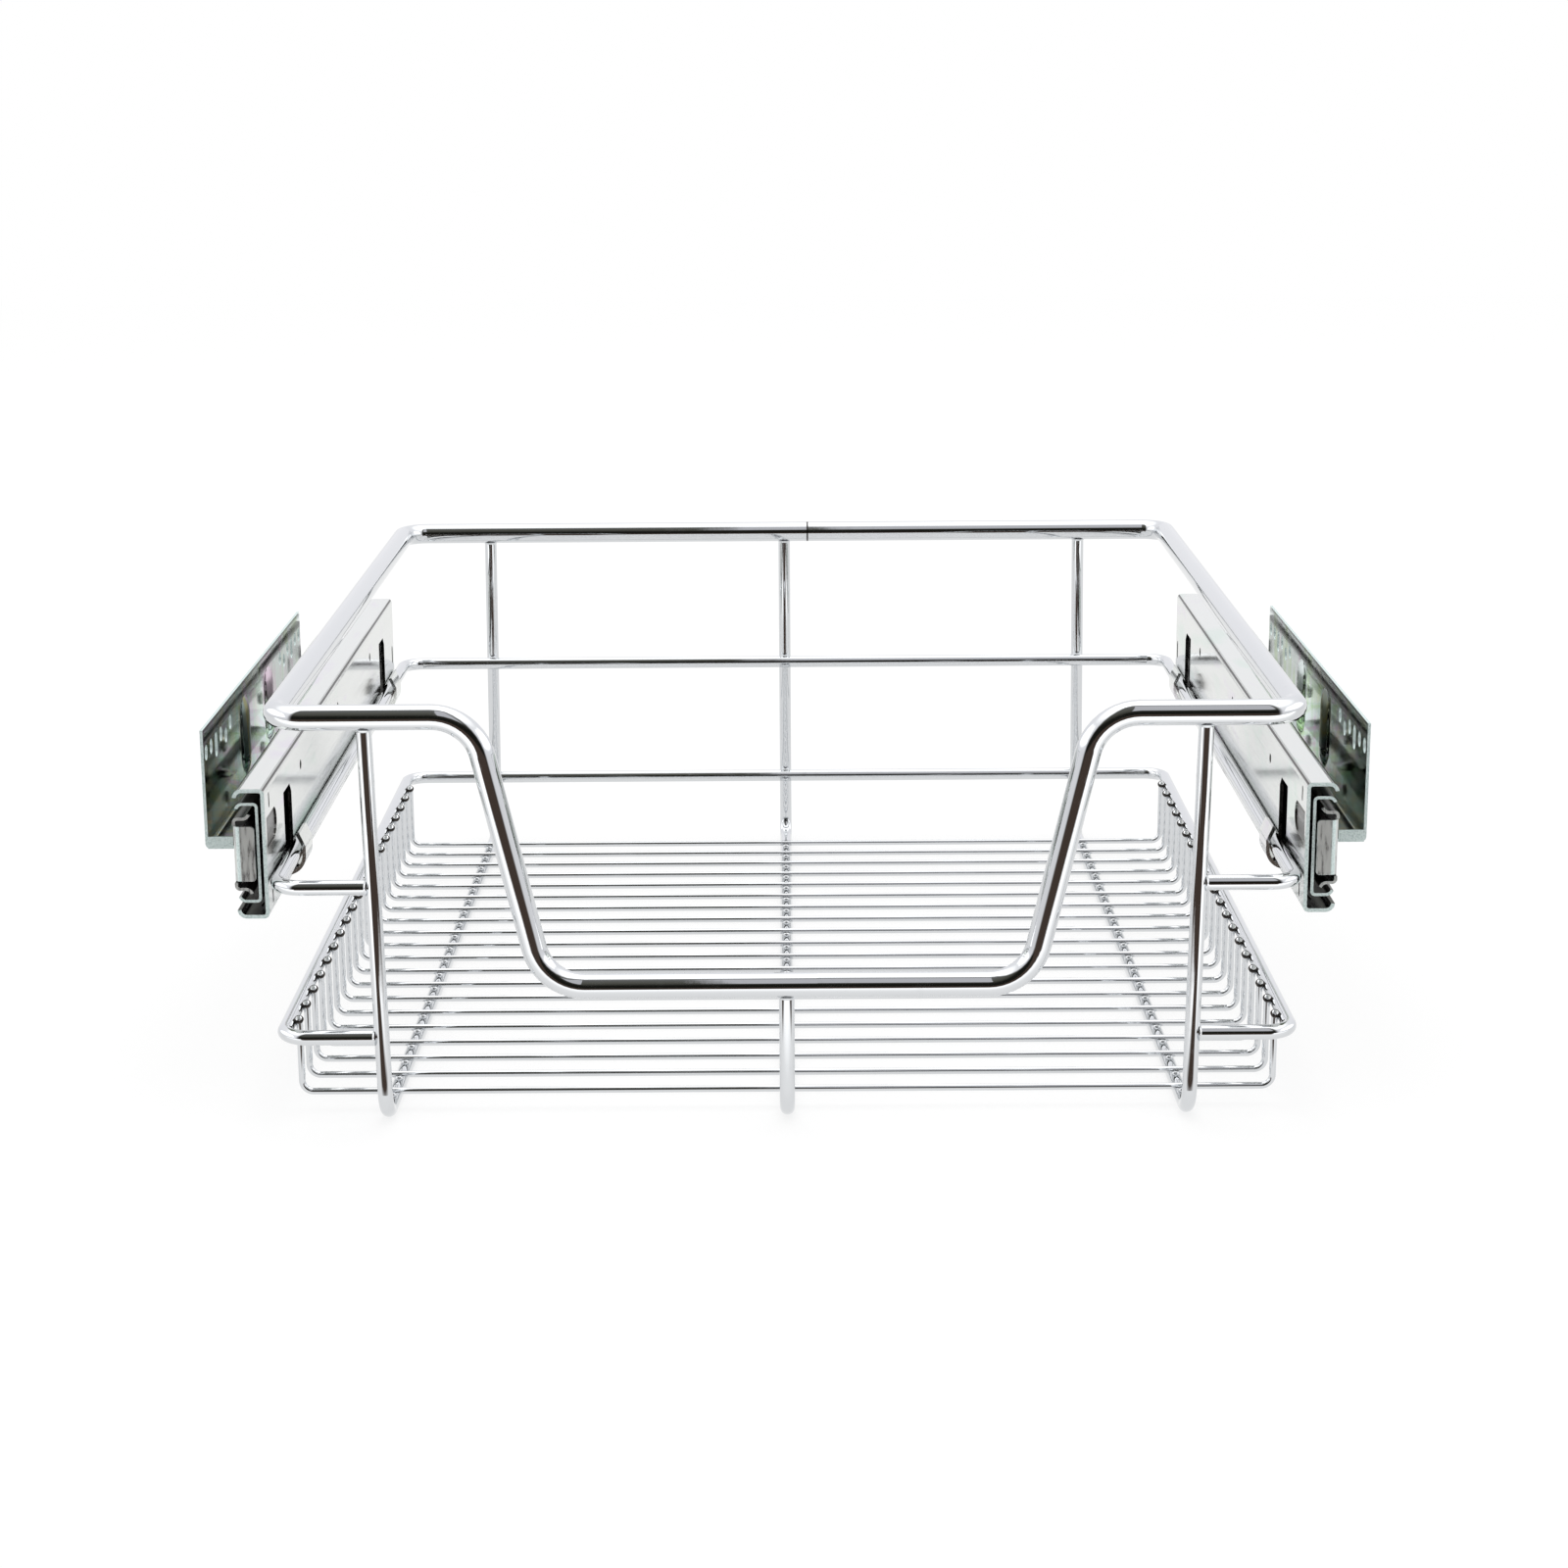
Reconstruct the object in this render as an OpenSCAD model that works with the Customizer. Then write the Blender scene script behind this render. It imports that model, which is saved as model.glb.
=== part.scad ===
// Pull-out wire basket for a kitchen base cabinet, on two ball-bearing runners.
//
// A welded, chrome-plated wire basket hangs on the drawer members of two telescopic
// runners. Each runner has three rolled members with steel balls in cages between them,
// and its cabinet member is riveted to a folded bracket that screws to the cabinet side.
//
// +X is right, +Y is to the back of the cabinet, +Z is up. The origin is on the surface
// that the basket stands on, under the middle of the basket. Millimetres throughout.

/* [Basket] */
// Width of the top rim between the centres of its side rods
rim_w = 392; // [360:2:460]
// Depth of the top rim between the centres of its front and rear rods
rim_d = 430; // [416:1:470]
// Diameter of the top rim's rod
rim_rod = 10; // [8:0.5:12]
// Height of the top rim's centre line
rim_z = 164.5; // [150:0.5:200]
// Height of the middle wire's centre line
mid_z = 97; // [94:0.5:98]
// Height of the tray rim's centre line
tray_z = 36; // [28:0.5:44]
// Diameter of the middle wire, the tray rim and the long wires
frame_wire = 6; // [5:0.5:7]
// Bend radius of the top rim's corners, at the centre line
rim_corner_r = 12; // [10:1:20]
// Bend radius of the frame wires, at the centre line
wire_corner_r = 10; // [8:1:14]

/* [Front dip] */
// Width between the bends at the top of the dip
dip_top_w = 239; // [210:1:260]
// Width between the bends at the bottom of the dip
dip_bottom_w = 189; // [150:1:200]
// Depth of the dip below the rim
dip_drop = 108; // [80:1:115]
// Bend radius of the dip
dip_bend_r = 20; // [14:1:24]

/* [Floor] */
// Number of thin wires across the floor
floor_count = 20; // [10:1:20]
// Diameter of the thin wires
floor_wire = 2.7; // [2:0.1:3.5]
// Distance from one thin wire to the next
floor_pitch = 19.75; // [16:0.25:20.5]
// Distance of the first thin wire behind the front rim's centre line
floor_first = 18.5; // [16:0.5:24]
// Bend radius of the thin wires, at the centre line
floor_corner_r = 4.5; // [4:0.5:9]

/* [Runners] */
// Length of a runner's drawer and cabinet members
runner_length = 400; // [380:5:405]
// Height of a drawer member
runner_h = 52; // [52:1:56]
// Distance of the runners' front end behind the front rim's centre line
runner_front = 6; // [5:1:10]
// Height of the runners' centre line
runner_z = 109; // [108:0.5:110]
// Diameter of the steel balls
ball_d = 3.5; // [3.3:0.1:3.5]
// Number of balls in one row
ball_count = 8; // [4:1:9]
// Distance from one ball to the next
ball_pitch = 20; // [12:1:20]

/* [Brackets] */
// Width over the two brackets, which is the clear width inside the cabinet
cabinet_w = 464; // [458:1:500]
// Length of a bracket
bracket_length = 251; // [245:1:280]
// Height of a bracket's outer plate
bracket_h = 48.5; // [45:0.5:52]
// Height of a bracket's underside
bracket_z = 101.5; // [100:0.5:103]
// Distance of a bracket's front end behind the front rim's centre line
bracket_front = 42; // [36:1:60]
// Diameter of the screw holes
screw_hole = 6.2; // [4:0.1:6.5]

/* [Hidden] */
$fn = 64;
weld = 0.1;                  // how far welded wires sink into each other
run_lap = 0.5;               // how far slanting runs reach into their bends
run_slack = 0.04;            // how much thinner they are than their bends

// Places along Y
front_y = -rim_d / 2;
rear_y = rim_d / 2;
wire_rear_y = rear_y - frame_wire + weld;
runner_y0 = front_y + runner_front;
runner_y1 = runner_y0 + runner_length;

// The long wires, which are the feet
long_z = frame_wire / 2;
long_top_z = rim_z - rim_rod / 2 + 0.3;
long_front_top_x = 161;
long_front_x = 158;
long_rear_x = 153.5;
long_rear_top_x = 152;

// The floor wires
floor_z = frame_wire + floor_wire / 2 - weld / 2;
floor_end_z = tray_z + 2.5;

// Wires that run round the sides
rim_x = rim_w / 2;
side_x = rim_x + rim_rod / 2 - frame_wire / 2;
floor_x = side_x - frame_wire / 2 - floor_wire / 2 + weld;

// Runner sections: u runs outwards from the drawer member's face, v up from the centre
runner_x = side_x + frame_wire / 2 + 0.3;
runner_w = 13;
drawer_t = 1.5;
slide_t = 1.2;
half_h = runner_h / 2;
ball_r = ball_d / 2;
cage_t = 0.5;
outer_cage_u = [2, 10.8];
inner_cage_u = [4.7, 11.6];
outer_race_r = 2.2;
inner_race_r = 2.1;
outer_ball = [8.8, half_h - drawer_t - outer_race_r];
inner_ball = [9, outer_ball.y - 5.5];
middle_web_u = 3;
middle_top = inner_ball.y + inner_race_r + slide_t;
middle_gap = 4;
middle_front_gap = 2;
cage_y0 = runner_y0 + 114;
cage_length = (ball_count - 1) * ball_pitch + 16;

// Hooks that hold the basket's middle wire
hook_t = 1.5;
hook_w = 18;
hook_low = 7.6;
window_w = 19.5;
window_h = 33;
hook_y = [runner_y0 + 54, runner_y1 - 46];

// Holes in the webs, measured from the runner's front end
pinhole_y = [90, 200, 310];
middle_slot_y = [40, 130, 270, 360];
cabinet_slot_y = [16, 350];

// Stops lanced out of a drawer member's web, between its flange and the middle member's
stop_y = 10;
stop_v = 21.4;
stop_w = 2;
stop_t = 1;
stop_slot_h = 6.2;

// Rubber buffer at the back of a runner
buffer_u = middle_web_u + slide_t + 0.4;
buffer_nose_u = 2.2;
buffer_length = 14;
buffer_h = 16;
buffer_stud_d = 4;
buffer_y = runner_y1 - 8;

// Bracket section
bracket_t = 1.2;
bracket_x = cabinet_w / 2;
bracket_y0 = front_y + bracket_front;
bracket_y = bracket_y0 + bracket_length / 2;
bracket_in_x = runner_x + runner_w;
rivet_y = [bracket_y - 96, bracket_y, bracket_y + 96];
rivet_z = runner_z + 6;
rivet_d = 4;

// Holes and beads of a bracket, measured from its middle along its length
hole_z = bracket_z + 38.3;
hole_low_z = hole_z - 3.1;
hole_out = [65, 87, 109, 120];
low_hole_out = 76;
slot_out = 98;
slot_h = 10;
slot_z = hole_z - 1.8;
bead_out = 31;
bead_r = 16;
bead_away = 12.8;            // from the outer face out to a bead's axis
bead_low = bracket_z + 15;
bead_high = bracket_z + 35;

SIDES = ["left", "right"];
function floor_name(i) = str("floor_wire_", i < 10 ? "0" : "", i);
function side_nodes(side) = [for (part = ["drawer_member", "middle_member", "cabinet_member",
    "outer_ball_cage", "outer_balls", "inner_ball_cage", "inner_balls", "bracket", "rivets",
    "end_buffer"]) str(side, "_", part)];

CHROME = [0.86, 0.87, 0.89];
ZINC = [0.80, 0.81, 0.77];
DARK_ZINC = [0.42, 0.45, 0.43];
STEEL = [0.70, 0.70, 0.72];
RUBBER = [0.12, 0.12, 0.12];

// ---- Wires -------------------------------------------------------------------------

function unit(v) = v / norm(v);
function perpendicular(v) = unit(cross(v, abs(v.z) < 0.9 ? [0, 0, 1] : [1, 0, 0]));

// Turns and moves the children so that their axes lie along x, y and z
module along(x, y, z, at) {
    multmatrix([[x.x, y.x, z.x, at.x], [x.y, y.y, z.y, at.y], [x.z, y.z, z.z, at.z]])
        children();
}

function turn(a, b) = acos(max(-1, min(1, a * b)));
function tangent(p, q, s, r) = r * tan(turn(unit(q - p), unit(s - q)) / 2);

// One bend at q, between the runs from p and to s
module wire_bend(p, q, s, r, d) {
    a = unit(q - p);
    b = unit(s - q);
    inward = unit(b - a * (a * b));
    centre = q - a * tangent(p, q, s, r) + inward * r;
    along(-inward, a, cross(-inward, a), centre)
        rotate_extrude(angle = turn(a, b)) translate([r, 0]) circle(d = d);
}

// One straight run from p to q, shortened at its ends by the bends' tangents
module wire_run(p, q, cut_p, cut_q, d) {
    z = unit(q - p);
    x = perpendicular(z);
    along(x, cross(z, x), z, p + z * cut_p)
        cylinder(h = norm(q - p) - cut_p - cut_q, d = d);
}

// A wire along points [x, y, z], with the corner at each point bent to its radius. Where
// runs slant, they are drawn a hair thinner and reach into their bends by the lap.
module bent_wire(points, radii, d, closed = false, slants = false) {
    n = len(points);
    lap = slants ? run_lap : 0;
    run_d = slants ? d - run_slack : d;
    function at(i) = points[(i + n) % n];
    function cut(i) = closed || (i > 0 && i < n - 1)
        ? tangent(at(i - 1), at(i), at(i + 1), radii[(i + n) % n]) - lap : 0;
    for (i = [0:closed ? n - 1 : n - 2])
        wire_run(at(i), at(i + 1), cut(i), cut((i + 1) % n), run_d);
    for (i = [closed ? 0 : 1:closed ? n - 1 : n - 2])
        wire_bend(at(i - 1), at(i), at(i + 1), radii[i], d);
}

module top_rim() {
    top = dip_top_w / 2;
    low = dip_bottom_w / 2;
    low_z = rim_z - dip_drop;
    color(CHROME) bent_wire([
        [-rim_x, rear_y, rim_z], [rim_x, rear_y, rim_z], [rim_x, front_y, rim_z],
        [top, front_y, rim_z], [low, front_y, low_z],
        [-low, front_y, low_z], [-top, front_y, rim_z], [-rim_x, front_y, rim_z]],
        [rim_corner_r, rim_corner_r, rim_corner_r, dip_bend_r,
            dip_bend_r, dip_bend_r, dip_bend_r, rim_corner_r],
        rim_rod, closed = true, slants = true);
}

// A wire round the back and both sides, whose ends turn in to the front uprights
module side_loop(z) {
    upright_x = long_front_x + (long_front_top_x - long_front_x) * z / rim_z;
    end_x = upright_x + frame_wire / 2 - weld;
    r = wire_corner_r;
    bent_wire([[-end_x, front_y, z], [-side_x, front_y, z], [-side_x, wire_rear_y, z],
        [side_x, wire_rear_y, z], [side_x, front_y, z], [end_x, front_y, z]],
        [0, r, r, r, r, 0], frame_wire);
}

module middle_wire() {
    color(CHROME) side_loop(mid_z);
}

module tray_rim() {
    color(CHROME) side_loop(tray_z);
}

// A wire down the back, along under the floor and up the front
module long_wire(front_top, front_x, rear_x, rear_top, front_top_z, slants) {
    r = wire_corner_r;
    color(CHROME) bent_wire([[front_top, front_y, front_top_z], [front_x, front_y, long_z],
        [rear_x, rear_y, long_z], [rear_top, rear_y, long_top_z]], [0, r, r, 0], frame_wire,
        slants = slants);
}

module side_long_wire(side) {
    long_wire(side * long_front_top_x, side * long_front_x,
        side * long_rear_x, side * long_rear_top_x, long_top_z, true);
}

module centre_long_wire() {
    long_wire(0, 0, 0, 0, long_top_z - dip_drop, false);
}

module floor_wire(i) {
    y = front_y + floor_first + (i - 1) * floor_pitch;
    r = floor_corner_r;
    color(CHROME) bent_wire([[-floor_x, y, floor_end_z], [-floor_x, y, floor_z],
        [floor_x, y, floor_z], [floor_x, y, floor_end_z]], [0, r, r, 0], floor_wire);
}

// ---- Rolled sheet sections ---------------------------------------------------------

// A bend in a sheet: centre c, inner radius r, thickness t, from angle a to angle b
module sheet_bend(c, r, t, a, b) {
    reach = 3 * (r + t);
    translate(c) intersection() {
        difference() {
            circle(r + t);
            circle(r);
        }
        polygon(concat([[0, 0]], [for (k = [0:4]) let (g = a + (b - a) * k / 4)
            reach * [cos(g), sin(g)]]));
    }
}

// A flat stretch of sheet with corners at p and q
module sheet(p, q) {
    translate([min(p.x, q.x), min(p.y, q.y)]) square([abs(q.x - p.x), abs(q.y - p.y)]);
}

// The children and their mirror image below the centre line
module up_and_down() {
    children();
    mirror([0, 1]) children();
}

module drawer_section() {
    r = 0.8;
    t = drawer_t;
    sheet([0, -half_h + r + t], [t, half_h - r - t]);
    up_and_down() {
        sheet_bend([r + t, half_h - r - t], r, t, 90, 180);
        sheet([r + t, half_h - t], [outer_ball.x, half_h]);
        sheet_bend(outer_ball, outer_race_r, t, 5, 90);
    }
}

module middle_section() {
    r = 0.8;
    t = slide_t;
    u = middle_web_u;
    sheet([u, -middle_top + r + t], [u + t, middle_top - r - t]);
    up_and_down() {
        sheet_bend([u + r + t, middle_top - r - t], r, t, 90, 180);
        sheet([u + r + t, middle_top - t], [inner_ball.x, middle_top]);
        sheet_bend(inner_ball, inner_race_r, t, 20, 90);
    }
}

cabinet_half_h = inner_ball.y - inner_race_r;

module cabinet_section() {
    r = 0.8;
    t = slide_t;
    low = cabinet_half_h;
    sheet([runner_w - t, -low + r + t], [runner_w, low - r - t]);
    up_and_down() {
        sheet_bend([runner_w - r - t, low - r - t], r, t, 0, 90);
        sheet([inner_ball.x, low - t], [runner_w - r - t, low]);
        sheet_bend(inner_ball, inner_race_r, t, 200, 270);
    }
}

// A U of thin strip between u.x and u.y, whose flanges carry the balls at height v
module cage_section(u, v) {
    low = v - cage_t / 2;
    high = v + cage_t / 2;
    polygon([[u.x, -high], [u.y, -high], [u.y, -low], [u.x + cage_t, -low],
        [u.x + cage_t, low], [u.y, low], [u.y, high], [u.x, high]]);
}

// The section stretched from y0 to y1, in the runner's place on the right
module rolled(y0, y1) {
    translate([runner_x, y1, runner_z]) rotate([90, 0, 0]) linear_extrude(y1 - y0) children();
}

// Right-hand parts as drawn, left-hand parts as their mirror image
module on_side(side) {
    if (side == "right") children();
    else mirror([1, 0, 0]) children();
}

// A hole w wide and h high through a sheet across X, t thick with its ends; round if w is h
module slot_hole(at, t, w, h) {
    r = w / 2;
    translate(at) rotate([0, 90, 0]) {
        cylinder_at = h / 2 - r;
        for (s = h > w ? [-1, 1] : [0]) translate([s * cylinder_at, 0, 0]) cylinder(h = t, r = r);
        if (h > w) translate([-cylinder_at, -r, 0]) cube([2 * cylinder_at, w, t]);
    }
}

// A hole through a web, from u.x to u.y
module web_slot(u, y, v, w, h) {
    slot_hole([runner_x + u.x, y, runner_z + v], u.y - u.x, w, h);
}

// ---- Runners -----------------------------------------------------------------------

// The hook's path round the middle wire, from the drawer member's web
module hook_section() {
    r = frame_wire / 2 + 0.02;
    t = hook_t;
    web = runner_x - side_x;
    bend_r = hook_low - 1;
    tip_h = 5.6;
    tip_angle = 24;
    sheet([bend_r - r, -hook_low - t], [web + drawer_t, -hook_low]);
    sheet_bend([bend_r - r, bend_r - hook_low], bend_r, t, 180, 270);
    sheet([-r - t, bend_r - hook_low], [-r, r]);
    translate([-r - t, r]) rotate(-tip_angle) square([t, tip_h]);
}

// The window that the hook is cut from, with its rear top corner cut off
module window_shape() {
    cut = 4;
    polygon([[0, 0], [window_w, 0], [window_w, window_h - cut],
        [window_w - cut, window_h], [0, window_h]]);
}

// A stop bent out of the far end of the web's slot, which runs outwards and then slants
// to the flange
module lanced_stop() {
    low = stop_v;
    high = stop_v + stop_t;
    out = 3.2;
    rise = 1.7;
    polygon([[drawer_t / 2, low], [out, low], [out + rise, low + rise],
        [out + rise - stop_t / 2, high + rise - stop_t / 4], [out - stop_t / 2, high],
        [drawer_t / 2, high]]);
}

module drawer_member() {
    u = [-1, drawer_t + 1];
    release_r = 6;
    release_y = 2.5;
    release_flat = 17.5;
    release_depth = 0.6;
    difference() {
        rolled(runner_y0, runner_y1) drawer_section();
        for (y = hook_y)
            translate([runner_x + u.x, y - window_w / 2, mid_z - hook_low])
                rotate([90, 0, 90]) linear_extrude(u.y - u.x) window_shape();
        // A D-shaped recess coined into the web near the front end
        translate([runner_x + u.x, runner_y0 + release_y, runner_z + 7.7]) {
            translate([0, 0, -release_r])
                cube([release_depth - u.x, release_flat, 2 * release_r]);
            translate([0, release_flat, 0]) rotate([0, 90, 0])
                cylinder(h = release_depth - u.x, r = release_r);
        }
        for (s = [-1, 1])
            web_slot(u, runner_y0 + stop_y, s * (stop_v + stop_t - stop_slot_h / 2),
                stop_w, stop_slot_h);
        web_slot(u, runner_y1 - 6, -2, 3, 9);
        for (y = pinhole_y) web_slot(u, runner_y0 + y, 14, 4, 4);
    }
    for (y = hook_y)
        translate([side_x, y + hook_w / 2, mid_z]) rotate([90, 0, 0])
            linear_extrude(hook_w) hook_section();
    rolled(runner_y0 + stop_y - stop_w / 2, runner_y0 + stop_y + stop_w / 2)
        up_and_down() lanced_stop();
}

module middle_member() {
    difference() {
        rolled(runner_y0 + middle_front_gap, runner_y1 - middle_gap) middle_section();
        for (y = middle_slot_y)
            web_slot([middle_web_u - 1, middle_web_u + slide_t + 1], runner_y0 + y, 0, 8, 20);
    }
}

// The cabinet member, with a tab at its front end folded in as a stop
module cabinet_member() {
    tab_h = 22;
    tab_r = 1.5;
    tab_u = 4.6;
    fold_r = 1.5;
    fold = fold_r + slide_t;
    relief = 0.6;
    difference() {
        rolled(runner_y0, runner_y1) cabinet_section();
        translate([runner_x + runner_w - fold, runner_y0 - 1, runner_z - tab_h / 2 - relief])
            cube([fold + 1, fold + 1, tab_h + 2 * relief]);
        for (y = rivet_y) rivet_hole(y);
        web_slot([runner_w - 3, runner_w + 1], buffer_y, 0, buffer_stud_d + 0.2, buffer_stud_d + 0.2);
        for (y = cabinet_slot_y)
            web_slot([runner_w - 3, runner_w + 1], runner_y0 + y, 0, 5, 12);
    }
    rolled(runner_y0, runner_y0 + slide_t) {
        sheet([tab_u + tab_r, -tab_h / 2], [runner_w - fold, tab_h / 2]);
        sheet([tab_u, -tab_h / 2 + tab_r], [tab_u + tab_r, tab_h / 2 - tab_r]);
        up_and_down() translate([tab_u + tab_r, tab_h / 2 - tab_r]) circle(tab_r);
    }
    translate([runner_x + runner_w - fold, runner_y0 + fold, runner_z - tab_h / 2])
        rotate([0, 0, -90]) rotate_extrude(angle = 90)
            translate([fold_r, 0]) square([slide_t, tab_h]);
}

function ball_y(k) = cage_y0 + 8 + k * ball_pitch;

module balls(at) {
    for (k = [0:ball_count - 1]) for (s = [-1, 1])
        translate([runner_x + at.x, ball_y(k), runner_z + s * at.y]) sphere(ball_r);
}

module ball_holes(at) {
    for (k = [0:ball_count - 1]) for (s = [-1, 1])
        translate([runner_x + at.x, ball_y(k), runner_z + s * at.y - 1])
            cylinder(h = 2, r = ball_r + 0.05);
}

module ball_cage(u, at) {
    difference() {
        rolled(cage_y0, cage_y0 + cage_length) cage_section(u, at.y);
        ball_holes(at);
    }
}

// A rubber buffer studded into the back end of the cabinet member. Its nose reaches in
// behind the middle member, which stops against it when the basket is closed.
module end_buffer() {
    half = buffer_h / 2;
    rolled(runner_y1 - buffer_length, runner_y1)
        sheet([buffer_u, -half], [runner_w - slide_t, half]);
    rolled(runner_y1 - middle_gap + 0.3, runner_y1) sheet([buffer_nose_u, -half], [buffer_u, half]);
    translate([runner_x + runner_w - slide_t, buffer_y, runner_z]) rotate([0, 90, 0]) {
        cylinder(h = slide_t, d = buffer_stud_d);
        translate([0, 0, slide_t]) cylinder(h = 1.5, d = buffer_stud_d + 3);
    }
}

// ---- Brackets ----------------------------------------------------------------------

module rivet_hole(y) {
    translate([bracket_in_x - slide_t - 1, y, rivet_z]) rotate([0, 90, 0])
        cylinder(h = slide_t + bracket_t + 2, d = rivet_d + 0.2);
}

module rivets() {
    head_d = 7;
    head_t = 1.1;
    for (y = rivet_y) translate([bracket_in_x, y, rivet_z]) rotate([0, 90, 0]) {
        translate([0, 0, -slide_t - head_t]) cylinder(h = head_t, d = head_d);
        translate([0, 0, -slide_t]) cylinder(h = slide_t + bracket_t, d = rivet_d);
        translate([0, 0, bracket_t]) cylinder(h = head_t, d = head_d);
    }
}

// Outer plate, bottom flange, ramp and inner flange, seen from the front
module bracket_section() {
    t = bracket_t;
    r = 1;
    foot_x = bracket_in_x + 6.5;
    top = runner_z + 13;
    ramp_z = bracket_z + 6;
    x = bracket_x;
    z = bracket_z;
    sheet([x - t, z + r + t], [x, z + bracket_h]);
    sheet_bend([x - r - t, z + r + t], r, t, 270, 360);
    sheet([foot_x, z], [x - r - t, z + t]);
    polygon([[foot_x, z], [foot_x, z + t], [bracket_in_x + t, ramp_z + t],
        [bracket_in_x, ramp_z + t], [bracket_in_x, ramp_z]]);
    sheet([bracket_in_x, ramp_z + t], [bracket_in_x + t, top]);
}

module stretched(y0, y1) {
    translate([0, y1, 0]) rotate([90, 0, 0]) linear_extrude(y1 - y0) children();
}

// A hole h high through the outer plate
module plate_hole(y, z, h) {
    slot_hole([bracket_x - bracket_t - 1, y, z], bracket_t + 2, screw_hole, h);
}

// Upright stiffening beads pressed into the outer plate, with round ends
module beads(r) {
    for (s = [-1, 1])
        translate([bracket_x + bead_away, bracket_y + s * bead_out, bead_low]) {
            cylinder(h = bead_high - bead_low, r = r);
            for (z = [0, bead_high - bead_low]) translate([0, 0, z]) sphere(r);
        }
}

module bracket() {
    lip_h = 5;
    difference() {
        union() {
            stretched(bracket_y0, bracket_y0 + bracket_length) bracket_section();
            intersection() {
                beads(bead_r);
                translate([bracket_in_x, bracket_y0, bracket_z])
                    cube([bracket_x - bracket_in_x, bracket_length, bracket_h]);
            }
            stretched(bracket_y0, bracket_y0 + bracket_t)
                sheet([bracket_in_x + 6.5, bracket_z], [bracket_x - 1, bracket_z + lip_h]);
        }
        beads(bead_r - bracket_t);
        for (s = [-1, 1]) {
            for (y = hole_out) plate_hole(bracket_y + s * y, hole_z, screw_hole);
            plate_hole(bracket_y + s * low_hole_out, hole_low_z, screw_hole);
            plate_hole(bracket_y + s * slot_out, slot_z, slot_h);
        }
        for (y = rivet_y) rivet_hole(y);
    }
}

// ---- Nodes -------------------------------------------------------------------------

top_rim();
middle_wire();
tray_rim();
side_long_wire(-1);  // left_long_wire
centre_long_wire();
side_long_wire(1);  // right_long_wire
for (i = [1:floor_count])
    floor_wire(i);
for (side = SIDES) on_side(side) {
    color(ZINC) drawer_member();
    color(STEEL) middle_member();
    color(STEEL) cabinet_member();
    color(ZINC)
        ball_cage(outer_cage_u, outer_ball);
    color(STEEL) balls(outer_ball);
    color(ZINC)
        ball_cage(inner_cage_u, inner_ball);
    color(STEEL) balls(inner_ball);
    color(DARK_ZINC) bracket();
    color(STEEL) rivets();
    color(RUBBER) end_buffer();
}
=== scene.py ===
"""A pull-out wire basket for a kitchen cabinet, on two ball-bearing runners with brackets.

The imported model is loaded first. The wires are then bent from rings of vertices, their
welds, rivets and cut ends are added, and the rolled and folded sheet parts get softened
edges. Lengths are in metres, +X is right, +Y is to the back of the cabinet and +Z is up.
"""

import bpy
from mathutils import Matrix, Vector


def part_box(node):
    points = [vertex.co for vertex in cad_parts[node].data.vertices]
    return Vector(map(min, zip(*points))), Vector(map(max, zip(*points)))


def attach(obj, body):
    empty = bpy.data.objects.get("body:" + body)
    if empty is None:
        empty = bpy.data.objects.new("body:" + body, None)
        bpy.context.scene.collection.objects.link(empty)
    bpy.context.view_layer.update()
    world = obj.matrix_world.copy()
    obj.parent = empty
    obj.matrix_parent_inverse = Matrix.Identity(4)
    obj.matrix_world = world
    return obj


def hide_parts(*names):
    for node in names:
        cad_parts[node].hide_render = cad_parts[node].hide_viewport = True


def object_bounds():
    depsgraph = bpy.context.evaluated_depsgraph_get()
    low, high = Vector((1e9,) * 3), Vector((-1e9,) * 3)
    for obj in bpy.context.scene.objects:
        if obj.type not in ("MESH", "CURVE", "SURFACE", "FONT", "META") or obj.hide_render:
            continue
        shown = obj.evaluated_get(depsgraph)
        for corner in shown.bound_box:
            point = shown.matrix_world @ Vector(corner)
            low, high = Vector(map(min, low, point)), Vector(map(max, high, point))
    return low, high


bl_info = {
    "name": "Pull-out cabinet basket",
    "version": (1, 0, 0),
    "blender": (4, 5, 0),
    "location": "3D View > Sidebar > Basket",
    "description": "Wires, welds, runners, brackets and stage of a pull-out cabinet basket",
    "category": "Object",
}

import math

import bpy
from bpy.props import FloatProperty, IntProperty, PointerProperty, StringProperty
from mathutils import Matrix, Vector

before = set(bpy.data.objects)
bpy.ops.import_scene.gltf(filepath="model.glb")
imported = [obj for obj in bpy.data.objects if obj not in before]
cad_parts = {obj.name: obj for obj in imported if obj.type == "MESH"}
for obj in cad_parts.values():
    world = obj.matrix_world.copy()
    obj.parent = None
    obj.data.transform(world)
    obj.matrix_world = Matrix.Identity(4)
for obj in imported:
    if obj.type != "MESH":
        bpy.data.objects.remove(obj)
CAD_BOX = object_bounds()

MM = 0.001
X, Y, Z = Vector((1, 0, 0)), Vector((0, 1, 0)), Vector((0, 0, 1))
SIDES = ("left", "right")
# Vertices closer than this are merged
MERGE = 1e-6
# Degrees from one ring of a wire's bend to the next
BEND_STEP = 7.5
# Sheet facets that turn less than this are one face, and its edges that turn more are sharp
FLAT, SHARP = math.radians(0.6), math.radians(32)
# Sockets of a Mix node that mixes two colours
MIX_FACTOR, MIX_A, MIX_B, MIXED = 0, 6, 7, 2


# ---- Sizes and colours -----------------------------------------------------------------


def length(name, description, mm, low=0.1, high=600):
    """A length that the user sees in the scene's unit, given here in millimetres."""
    return FloatProperty(
        name=name, description=description, default=mm * MM, min=low * MM,
        max=high * MM, unit="LENGTH", subtype="DISTANCE", precision=4)


def angle(name, description, degrees):
    """An angle that the user sees in degrees."""
    return FloatProperty(name=name, description=description, unit="ROTATION",
                         default=math.radians(degrees), subtype="ANGLE")


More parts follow.
